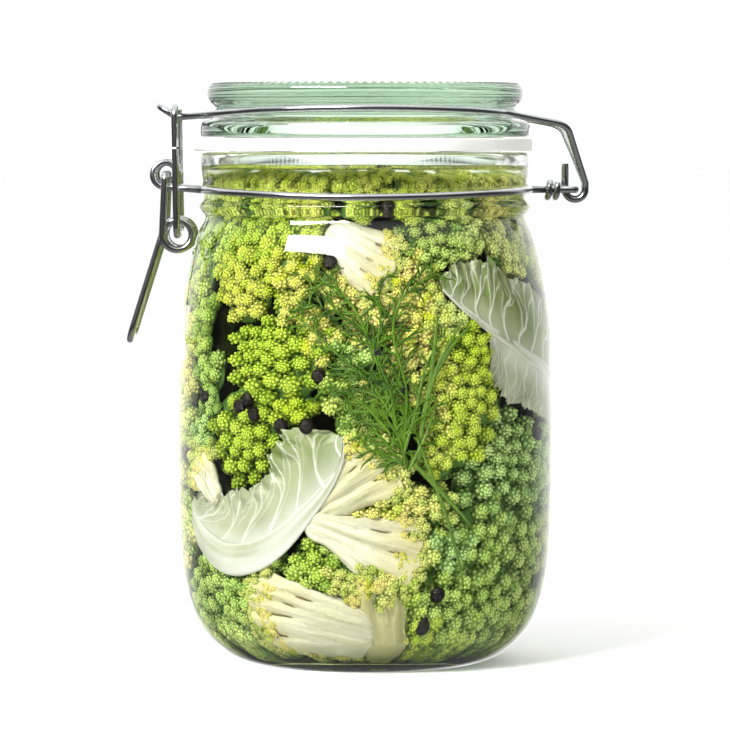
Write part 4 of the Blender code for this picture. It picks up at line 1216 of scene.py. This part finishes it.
def tube(path, radii, sides=6, flat=1.0, values=None):
    """A closed tapered tube along a path on the map. flat squeezes it against the glass."""
    path = np.asarray(path, float)
    radii = np.interp(np.linspace(0, 1, len(path)), np.linspace(0, 1, len(radii)), radii)
    ahead = np.gradient(path, axis=0)
    ahead /= np.linalg.norm(ahead, axis=1)[:, None] + 1e-9
    side = np.cross(ahead, (0.0, 0.0, 1.0))
    side /= np.linalg.norm(side, axis=1)[:, None] + 1e-9
    up = np.cross(side, ahead) * flat
    turn = np.linspace(0, 2 * math.pi, sides, endpoint=False)
    ring = np.cos(turn)[None, :, None] * side[:, None] + np.sin(turn)[None, :, None] * up[:, None]
    points = (path[:, None] + ring * radii[:, None, None]).reshape(-1, 3)
    points = np.concatenate([points, path[:1], path[-1:]])
    faces, rows = [], len(path)
    for i in range(rows - 1):
        for j in range(sides):
            a, b = i * sides + j, i * sides + (j + 1) % sides
            faces += [(a, b, b + sides), (a, b + sides, a + sides)]
    for j in range(sides):
        faces.append((rows * sides, (j + 1) % sides, j))
        faces.append((rows * sides + 1, (rows - 1) * sides + j, (rows - 1) * sides + (j + 1) % sides))
    kept = {label: np.full(len(points), value) for label, value in (values or {}).items()}
    return rolled(points - (0.0, 0.0, 0.3), 0.25), np.array(faces), kept


def on_map(*marks):
    """Marks of (azimuth in degrees, up, in) as points on the map."""
    return [(math.radians(a) * MAP_R, up, inward) for a, up, inward in marks]


print("a short tube has", len(tube([(0, 50, 1), (0, 55, 1), (0, 60, 1)], [1.0, 0.5])[1]), "triangles")

# %% [markdown]
# ## Cut cauliflower
# The pale pieces are cauliflower cut lengthwise and pressed flat against the glass. The cut face is a fan: a
# stem that widens into branches, with slits between them that open outwards, and a crust of curds on the far
# edge. The fan is a sheet with front and back, drawn in its own coordinates, across and out, so slits and
# fibres follow it.

# %% Cut fans
def closed_sheet(front, back, kept):
    """Two grids of points, joined at the rim into one closed skin."""
    rows, across = front.shape[:2]
    count = rows * across
    index = np.arange(count).reshape(rows, across)
    a, b = index[:-1, :-1].ravel(), index[1:, :-1].ravel()
    c, d = index[1:, 1:].ravel(), index[:-1, 1:].ravel()
    face = np.concatenate([np.stack([a, b, c], 1), np.stack([a, c, d], 1)])
    rim = np.concatenate([index[:, 0], index[-1, 1:], index[-2::-1, -1], index[0, -2:0:-1]])
    after = np.roll(rim, -1)
    walls = np.concatenate([np.stack([rim, rim + count, after], 1),
                            np.stack([after, rim + count, after + count], 1)])
    points = np.concatenate([front.reshape(-1, 3), back.reshape(-1, 3)])
    values = {label: np.concatenate([value.ravel()] * 2) for label, value in kept.items()}
    return points, np.concatenate([face, face[:, ::-1] + count, walls]), values


def noise_over(first, second, *rest):
    """Noise at each pair of two grids' numbers."""
    found = [noise.noise(Vector((a, b, *rest))) for a, b in zip(first.ravel(), second.ravel())]
    return np.array(found).reshape(first.shape)


def hump(distance, width):
    """1 where the distance is nothing, falling off to nothing past the width."""
    return np.exp(-((distance / width) ** 2))


def fan(azimuth, up, heading, reach, stem, spread, branches, seed, olive=0.0, inset=0.3):
    """A cut piece as a sheet part, and (azimuth, up, radius, tone, paleness) of the curds on its far edge."""
    draw = random.Random(seed)
    t, s = np.meshgrid(np.linspace(0, 1, 80), np.linspace(-1, 1, 56), indexing="ij")
    slit, valley = np.zeros_like(t), np.zeros_like(t)
    for k in range(1, branches):
        line = -1 + 2 * k / branches + draw.uniform(-0.15, 0.15)
        run = np.clip((t - draw.uniform(0.25, 0.45)) / 0.5, 0, 1)
        course = line * (0.86 + 0.14 * t) + 0.06 * np.sin(5 * t + 9 * line)
        valley = np.maximum(valley, hump(s - course, 0.13) * run)
        begins = draw.uniform(0.45, 0.8)
        short = np.clip((t - begins) / draw.uniform(0.10, 0.26), 0, 1)
        wide = 0.008 + draw.uniform(0.005, 0.03) * np.sin(math.pi * short)
        slit = np.maximum(slit, hump(s - course, wide) * np.clip(4 * np.sin(math.pi * short), 0, 1))
    ragged = np.array([[noise.noise(Vector((4.0 * a, seed, 9.0 * side))) for side in (0, 1)]
                       for a in t[:, 0]])
    edge = 1 + 0.22 * np.where(s < 0, ragged[:, :1], ragged[:, 1:])
    half = 0.5 * (stem + (spread - stem) * t**1.4) * edge * (1 - 0.55 * hump(t, 0.07))
    lobes = np.abs(np.cos(0.5 * math.pi * branches * (s + 1) + 0.5)) ** 0.5
    out = reach * (t * (1 - 0.16 * s**2) + 0.05 * lobes * t**3)
    uneven = noise_over(3.0 * s, 2.0 * t, seed)
    fibre = noise_over(16.0 * s, 2.2 * t, seed + 5.0)
    deep = (inset + 1.2 * slit + 1.2 * valley + 2.2 * np.abs(s) ** 5 + 1.6 * uneven + 0.25 * fibre
            + 1.2 * hump(t, 0.05))
    a = math.radians(heading)
    x = math.radians(azimuth) * MAP_R + out * math.sin(a) + s * half * math.cos(a)
    y = up + out * math.cos(a) - s * half * math.sin(a)
    front = np.stack([x, y, deep], 2)
    back = np.stack([x, y, deep + 4.0 - 2.5 * np.abs(s) ** 3], 2)
    # The fibre mark is lowered in the valleys between branches, which paints shade there.
    marks = {"slit": slit, "out": t, "fibre": 0.8 * fibre + 0.9 * uneven - 0.45 * valley,
             "olive": np.full_like(t, olive)}
    points, faces, kept = closed_sheet(front, back, marks)
    ends = []
    for step, (share, size) in enumerate([(0.90, 0.85), (1.04, 1.1)]):
        for k in range(branches + 1 - (step == 0)):
            at = -0.92 + 1.84 * (k + 0.25 * step) / (branches + 0.3 * step)
            far, side = reach * share * (1 - 0.16 * at**2), at * 0.5 * spread * share
            along = math.radians(azimuth) * MAP_R + far * math.sin(a) + side * math.cos(a)
            ends.append((math.degrees(along / MAP_R), up + far * math.cos(a) - side * math.sin(a),
                         size * max(3.6, 0.70 * spread / branches), 0.1 + 0.35 * step, 1.0 - 0.45 * step))
    return (rolled(points), faces, kept), ends


fan_parts, crust_parts = [], []
draw = random.Random(31)
for values in cut_fans:
    sheet, ends = fan(**values)
    fan_parts.append(sheet)
    for azimuth, up, radius, tone, pale in ends:
        grown = radius * draw.uniform(0.85, 1.15)
        lean, turn = (draw.uniform(-25, 25), draw.uniform(-25, 25)), draw.uniform(0, 360)
        crust_parts.append(placed_head(azimuth, up, grown, lean, turn, tone, pale, sink=radius * 0.55 + 0.4,
                                       size=CURD_TUFT, deepest=5.0))
cut_face, tree, shader = new_material("cut_cauliflower", Roughness=0.35, Specular_IOR_Level=0.25)
shade = mottled(tree, shader, paint(188, 185, 160), paint(212, 209, 188), 120.0, 700.0, 0.0004)
# Darker where the fibre mark is low: partly the stem's fibres and uneven tone, partly painted shade in the
# valleys between branches.
fibre_and_valley_shade = fitted(tree, mark(tree, "fibre"), -0.5, 0.3, 0.6, 0.0)
skin = mixed(tree, fibre_and_valley_shade, shade.outputs["Color"], paint(158, 152, 112))
skin = mixed(tree, mark(tree, "olive"), skin, paint(160, 156, 104))
skin = mixed(tree, fitted(tree, mark(tree, "out"), 0.55, 1.0, 0.0, 0.6), skin, paint(188, 180, 116))
# Painted shade in the slits between branches.
skin = mixed(tree, fitted(tree, mark(tree, "slit"), 0.1, 0.7, 0.0, 0.75), skin, paint(128, 108, 56))
tree.links.new(skin, shader.inputs["Base Color"])
in_jar("cut_cauliflower", outward(assembled("cut_cauliflower", fan_parts)), cut_face)
in_jar("cauliflower_curds", assembled("cauliflower_curds", crust_parts), green)
print(len(crust_parts), "tufts of curds,", sum(len(faces) for _, faces, _ in crust_parts), "triangles")

# %% [markdown]
# ## Leaves
# Two pale inner leaves lie against the glass: a fat white rib and a thin blade with forking veins and a
# ragged, waved edge. The blade is lofted between the rib's line and the edge's line, which are both drawn on
# the map.

# %% Leaves
def leaf(rib, edge, rib_radii, seed, rows=150, shade=0.0, darker=0.0, ruffle=1.6, veins=7.0, frill=1.0,
         lead_on=-1.2):
    """The blade between two lines of (azimuth, up, in) marks, and the rib, as two parts. darker deepens the
    shade upwards, lead_on slants the veins, ruffle and frill are the slow and the quick waves in
    millimetres."""
    across, rib_sides = 56, 24
    rib_line, edge_line = smooth_path(on_map(*rib), rows), smooth_path(on_map(*edge), rows)
    t, s = np.meshgrid(np.linspace(0, 1, rows), np.linspace(0, 1, across), indexing="ij")
    flat = rib_line[:, None] * (1 - s[..., None]) + edge_line[:, None] * s[..., None]
    lead = edge_line - rib_line
    rough = np.array([noise.noise(Vector((9.0 * x, seed, 0.0)))
                      + 0.7 * noise.noise(Vector((38.0 * x, seed, 3.0)))
                      + 0.4 * noise.noise(Vector((90.0 * x, seed, 6.0))) for x in np.linspace(0, 1, rows)])
    flat += (rough[:, None] * 0.15 * s**3)[..., None] * lead[:, None]
    bend = noise_over(5.0 * t, 2.5 * s, seed)
    line = veins * t + lead_on * s**1.2 + 0.4 * bend + 0.5
    near = np.abs(line - np.round(line)) / veins
    vein = 0.8 * hump(near, 0.0075 * (1.2 - 0.7 * s))
    for shift, begins in ((0.62, 0.22), (-0.55, 0.42), (1.3, 0.6)):
        fork = line + shift * np.maximum(s - begins, 0.0) * 1.6
        near = np.abs(fork - np.round(fork)) / veins
        vein = np.maximum(vein, 0.6 * hump(near, 0.0055) * np.clip((s - begins) * 12, 0, 1))
    wave = ruffle * s**1.2 * np.sin(17.0 * t + seed + 2.0 * s + 2.0 * bend)
    wave = wave + frill * 0.8 * s**4 * np.sin(75.0 * t + 2 * seed + 3 * bend)
    flat[..., 2] += wave - 0.30 * vein + 0.5 * np.sin(math.pi * s) * ruffle + 0.8 * bend
    back = flat.copy()
    back[..., 2] += 0.5 + 0.25 * vein
    marks = {"vein": vein, "out": s, "crinkle": bend + 0.25 * np.sin(75.0 * t + 3 * bend) * s,
             "shade": np.clip(shade + darker * (flat[..., 1] - 40.0) / 22.0, 0.0, 1.0)}
    points, faces, kept = closed_sheet(flat, back, marks)
    rib_part = tube(rib_line + np.array([0.0, 0.0, 0.7]), rib_radii, rib_sides, 0.26,
                    dict.fromkeys(marks, 0.0))
    around = np.tile(np.linspace(0, 2 * math.pi, rib_sides, endpoint=False), rows)
    along = np.repeat(np.linspace(0, 1, rows), rib_sides)
    streaks = [noise.noise(Vector((2.5 * math.cos(a), 2.5 * math.sin(a), 3.0 * b + seed)))
               for a, b in zip(around, along)]
    rib_part[2]["out"] = np.append(np.clip(0.25 - 0.7 * np.array(streaks), 0.0, 0.5), [0.0, 0.0])
    return [(rolled(points, 0.5), faces, kept), rib_part]


left_leaf = leaf(*left_leaf_lines, [0.4, 1.0, 2.0, 2.9, 3.9, 4.6, 4.4, 3.2, 1.2], 1.0, darker=0.9, ruffle=1.0,
                 lead_on=1.8)
right_leaf = leaf(*right_leaf_lines, [0.5, 0.8, 1.1, 1.4, 1.8, 2.2, 2.4], 2.0, ruffle=1.2, veins=9.0,
                  frill=1.7, shade=1.0)
lower_fold = leaf(*lower_fold_lines, [0.4, 0.5, 0.5, 0.5, 0.4], 3.0, rows=110, ruffle=1.2, frill=0.4,
                  shade=0.3)
back_leaf = leaf(*back_leaf_lines, [3.0, 2.8, 2.2, 1.6, 1.0, 0.5], 4.0, veins=9.0, frill=1.4)
leaf_skin, tree, shader = new_material("leaf_skin", Roughness=0.28, Specular_IOR_Level=0.3)
shade = mottled(tree, shader, paint(138, 140, 112), paint(168, 169, 150), 110.0, 900.0, 0.00015)
blade = mixed(tree, mark(tree, "shade"), shade.outputs["Color"], paint(100, 114, 58))
skin = mixed(tree, fitted(tree, mark(tree, "crinkle"), -0.3, 0.4, 0.0, 0.28), blade, paint(178, 180, 150))
near_rib = maths(tree, "MULTIPLY", fitted(tree, mark(tree, "out"), 0.0, 0.5, 0.95, 0.0),
                 fitted(tree, mark(tree, "shade"), 0.0, 1.0, 1.0, 0.35))
skin = mixed(tree, near_rib, skin, paint(190, 191, 180))
skin = mixed(tree, fitted(tree, mark(tree, "vein"), 0.15, 0.8, 0.0, 0.8), skin, paint(206, 205, 196))
tree.links.new(skin, shader.inputs["Base Color"])
in_jar("leaves", outward(assembled("leaves", left_leaf + right_leaf + lower_fold + back_leaf)), leaf_skin)

# %% [markdown]
# ## Dill
# Dill is all thread: a stem, fronds that leave it left and right, and hair-thin leaflets that fork. The
# shape follows a simple rule with seeded chance in it, so the sprigs are grown by a short function that
# calls itself.

# %% Dill sprigs
DEEPEST_LEVEL, THREAD_BENDS = 2, 7


def sprig(path, radius, side_length, step, draw, tone, parts, level=0):
    """A stem with threads on both sides, added to the parts. Its threads carry threads of their own."""
    path = np.asarray(path, float)
    values = {"tone": tone + draw.uniform(-0.35, 0.35)}
    parts.append(tube(path, [radius, radius * 0.85, radius * 0.3], 5 if level == 0 else 4, 0.8, values))
    if level == DEEPEST_LEVEL:
        return
    lengths = np.concatenate([[0.0], np.cumsum(np.linalg.norm(np.diff(path, axis=0), axis=1))])
    at, side = step * 1.2, 1
    while at < lengths[-1] - 0.5:
        k = int(np.searchsorted(lengths, at)) - 1
        start = path[k] + (path[k + 1] - path[k]) * (at - lengths[k]) / (lengths[k + 1] - lengths[k])
        ahead = path[k + 1] - path[k]
        bearing = math.atan2(ahead[1], ahead[0]) + side * math.radians(draw.uniform(15, 75 - 30 * level))
        reach = side_length * draw.uniform(0.5, 1.35) * (1.0 - 0.35 * at / lengths[-1])
        thread, bend, sinking = [start], draw.uniform(-1.0, 0.7), draw.uniform(-0.15, 0.3)
        for _ in range(THREAD_BENDS):
            bearing += bend / THREAD_BENDS + draw.uniform(-0.08, 0.08)
            way = np.array([math.cos(bearing), math.sin(bearing), sinking])
            thread.append(thread[-1] + way * reach / THREAD_BENDS)
        sprig(thread, radius * 0.74, side_length * 0.55, step * 0.75, draw, tone, parts, level + 1)
        side, at = draw.choice((-side, -side, side)), at + step * draw.uniform(0.4, 1.5)


draw = random.Random(5)
sprigs = [
    # marks of (azimuth, up, in), side threads' length, tone
    ([(14, 60, 1.2), (9, 74, 0.6), (3, 92, 0.5), (-4, 106, 0.6), (-13, 112, 0.8), (-20, 113, 1.0)],
     8.5, 0.45),
    ([(12, 64, 0.8), (13, 82, 0.4), (9, 98, 0.4), (12, 108, 0.5), (22, 114, 0.8), (27, 115, 1.0)], 8.0, 0.35),
    ([(9, 74, 0.5), (2, 84, 0.3), (-8, 92, 0.5), (-18, 100, 0.7), (-25, 104, 0.9)], 8.0, 0.45),
    ([(8, 90, 0.5), (0, 98, 0.3), (-9, 104, 0.5), (-22, 107, 0.7)], 7.5, 0.3),
    ([(8, 70, 0.6), (0, 78, 0.4), (-7, 82, 0.5), (-14, 83, 0.8)], 6.5, 0.5),
    ([(12, 64, 0.5), (16, 76, 0.4), (19, 88, 0.5), (24, 97, 0.8)], 6.5, 0.6),
    ([(10, 70, 0.4), (8, 82, 0.3), (4, 92, 0.3), (5, 104, 0.4), (4, 113, 0.6)], 7.5, 0.3),
    ([(12, 61, 0.4), (6, 68, 0.3), (0, 73, 0.4), (-7, 78, 0.6)], 7.0, 0.5),
    ([(13, 60, 0.4), (11, 68, 0.3), (6, 76, 0.3), (4, 84, 0.5)], 6.5, 0.4),
    ([(14, 60, 0.5), (18, 67, 0.3), (21, 73, 0.4), (23, 80, 0.6)], 6.0, 0.45),
    ([(13, 61, 0.6), (8, 63, 0.4), (1, 66, 0.5), (-3, 71, 0.7)], 6.0, 0.6),
    ([(165, 60, 0.5), (172, 74, 0.4), (176, 90, 0.4), (185, 102, 0.6)], 9.0, 0.4),
    ([(240, 40, 0.5), (236, 56, 0.4), (228, 70, 0.4), (224, 80, 0.6)], 9.0, 0.4),
]
STEM_R, THREAD_STEP = 0.5, 1.9
dill_parts = []
for marks, side_length, tone in sprigs:
    sprig(smooth_path(on_map(*marks), 26), STEM_R, side_length, THREAD_STEP, draw, tone, dill_parts)
blades = [
    # marks of (azimuth, up, in), radius
    ([(17, 62, 0.8), (19, 76, 0.5), (24, 90, 0.5), (33, 102, 0.7)], 0.75),
    ([(20, 80, 0.6), (22, 92, 0.5), (24, 104, 0.8)], 0.65),
    ([(21, 84, 0.6), (28, 94, 0.5), (37, 101, 0.8)], 0.6),
    ([(15, 62, 0.8), (26, 52, 0.5), (37, 42, 0.6)], 0.75),
    ([(17, 68, 0.8), (24, 52, 0.5), (29, 40, 0.5), (34, 26, 0.7)], 0.6),
]
for marks, radius in blades:
    taper = [radius * 0.8, radius, radius * 0.8, 0.2]
    dill_parts.append(tube(smooth_path(on_map(*marks), 24), taper, 6, 0.5, {"tone": 0.85}))
print(len(dill_parts), "stems, threads and blades of dill")
dill_green, tree, shader = new_material("dill_green", Roughness=0.35, Specular_IOR_Level=0.3)
shade = mottled(tree, shader, paint(30, 66, 2), paint(86, 122, 12), 150.0, 900.0, 0.0001)
tone = mark(tree, "tone")
skin = mixed(tree, fitted(tree, tone, 0.0, 0.5, 0.7, 0.0), shade.outputs["Color"], paint(26, 50, 4))
skin = mixed(tree, fitted(tree, tone, 0.5, 1.0), skin, paint(88, 116, 40))
tree.links.new(skin, shader.inputs["Base Color"])
in_jar("dill", assembled("dill", dill_parts), dill_green)

# %% [markdown]
# ## Peppercorns
# A dried peppercorn is a small black ball wrinkled into ridges. A fine ball is enough to carry real
# wrinkles, pushed in and out by noise, and there are few of them.

# %% Peppercorns
def peppercorn(azimuth, up, radius, draw):
    """One wrinkled ball against the glass, as a part for assembled()."""
    shape = bmesh.new()
    bmesh.ops.create_icosphere(shape, subdivisions=4, radius=1.0)
    offset = Vector((draw.uniform(0, 50), draw.uniform(0, 50), 0.0))
    for vertex in shape.verts:
        ridge = 1.0 - abs(noise.noise(vertex.co * 2.6 + offset)) * 2.0
        vertex.co *= 0.93 + 0.07 * ridge
    points = np.array([v.co[:] for v in shape.verts]) * radius
    shape.verts.index_update()
    faces = np.array([[v.index for v in face.verts] for face in shape.faces])
    shape.free()
    along = math.radians(azimuth) * MAP_R + points[:, 0]
    return rolled(np.stack([along, up + points[:, 1], 0.75 * radius - points[:, 2]], 1), 0.3), faces, {}


draw = random.Random(9)
pepper_spots = [(-12, 118), (9, 133), (-15, 86), (-62, 79), (-44, 77), (-38, 75), (-28, 72), (-19, 72),
                (12, 83), (4, 93), (72, 68), (25, 24), (21, 15), (-41, 79), (140, 60), (170, 100), (210, 40)]
pepper_black, tree, shader = new_material("peppercorn_black", Roughness=0.38, Specular_IOR_Level=0.25)
mottled(tree, shader, paint(6, 5, 3), paint(26, 18, 10), 500.0, 2500.0, 0.0002)
corns = [peppercorn(azimuth, up, draw.uniform(2.15, 2.4), draw) for azimuth, up in pepper_spots]
in_jar("peppercorns", outward(assembled("peppercorns", corns)), pepper_black)

# %% [markdown]
# ## Floor and light
# A white floor runs out of sight. One broad lamp from the upper left gives the soft shadow to the right, a
# weak one fills in the front, and a card that only mirrors see gives the bright patch on the jar's shoulder.
# The world is white behind the jar and overhead, where glass needs something pale to let through, and dim in
# front, where it would only show as haze.

# %% Floor and light
FLOOR_HALF = 40.0
floor_mesh = bpy.data.meshes.new("floor")
corners = [(x * FLOOR_HALF, y * FLOOR_HALF, 0.0) for x, y in ((-1, -1), (1, -1), (1, 1), (-1, 1))]
floor_mesh.from_pydata(corners, [], [(0, 1, 2, 3)])
floor = bpy.data.objects.new("floor", floor_mesh)
scene.collection.objects.link(floor)
floor.visible_glossy = False
floor_mesh.materials.append(new_material("pale_floor", Base_Color=(0.93, 0.93, 0.93, 1.0), Roughness=0.8,
                                         Specular_IOR_Level=0.0)[0])

world = bpy.data.worlds.new("studio")
scene.world = world
world.use_nodes = True
tree = world.node_tree
look = add(tree, "ShaderNodeTexCoord").outputs["Generated"]
parts = add(tree, "ShaderNodeSeparateXYZ", {0: look}).outputs
toward = maths(tree, "ADD", parts["Y"], maths(tree, "MULTIPLY", parts["Z"], 0.75))
behind_jar = fitted(tree, toward, 0.35, 0.97, 0.05, 1.5, "SMOOTHSTEP")
under = fitted(tree, parts["Z"], -0.75, -0.25, 0.3, 0.0, "SMOOTHSTEP")
overhead = fitted(tree, parts["Z"], 0.35, 0.85, 0.0, 1.3, "SMOOTHSTEP")
bright = maths(tree, "MAXIMUM", maths(tree, "MAXIMUM", behind_jar, under), overhead)
tree.links.new(bright, tree.nodes["Background"].inputs["Strength"])
tree.nodes["Background"].inputs["Color"].default_value = (1.0, 1.0, 1.0, 1.0)


def softbox(name, azimuth, elevation, distance, width, height, power, mirrored_only=False, unmirrored=False):
    """A rectangular lamp that faces the jar's middle. Azimuth 0 is in front, positive towards +X."""
    lamp = bpy.data.lights.new(name, "AREA")
    lamp.shape = "RECTANGLE"
    lamp.size, lamp.size_y, lamp.energy = width, height, power
    made = bpy.data.objects.new(name, lamp)
    scene.collection.objects.link(made)
    a, e = math.radians(azimuth), math.radians(elevation)
    out = Vector((math.sin(a) * math.cos(e), -math.cos(a) * math.cos(e), math.sin(e)))
    made.location = Vector((0.0, 0.0, 0.1)) + out * distance
    made.rotation_euler = out.to_track_quat("Z", "Y").to_euler()
    made.visible_diffuse = not mirrored_only
    made.visible_glossy = not unmirrored
    made.visible_transmission = not unmirrored
    print(name, [round(x, 2) for x in made.location])


softbox("key_softbox", -40.0, 42.0, 1.1, 0.42, 0.40, 20.5, unmirrored=True)
softbox("front_fill", 25.0, 12.0, 1.6, 1.2, 1.0, 4.0, unmirrored=True)
softbox("window_card", -36.0, 34.0, 1.1, 0.75, 0.22, 13.0, mirrored_only=True)

# %% [markdown]
# ## Camera
# A long lens from a little above the shoulder keeps the jar's sides upright and shows its lid almost edge
# on.

# %% Camera
camera = bpy.data.cameras.new("camera")
camera.sensor_width = 36.0
camera.lens = 218.0
camera.clip_end = 50.0
view = bpy.data.objects.new("camera", camera)
scene.collection.objects.link(view)
view.location = (0.0, -1.3, 0.150)
view.rotation_euler = (math.radians(90.0 - 2.77), 0.0, 0.0)
scene.camera = view
scene.view_settings.view_transform = "Standard"
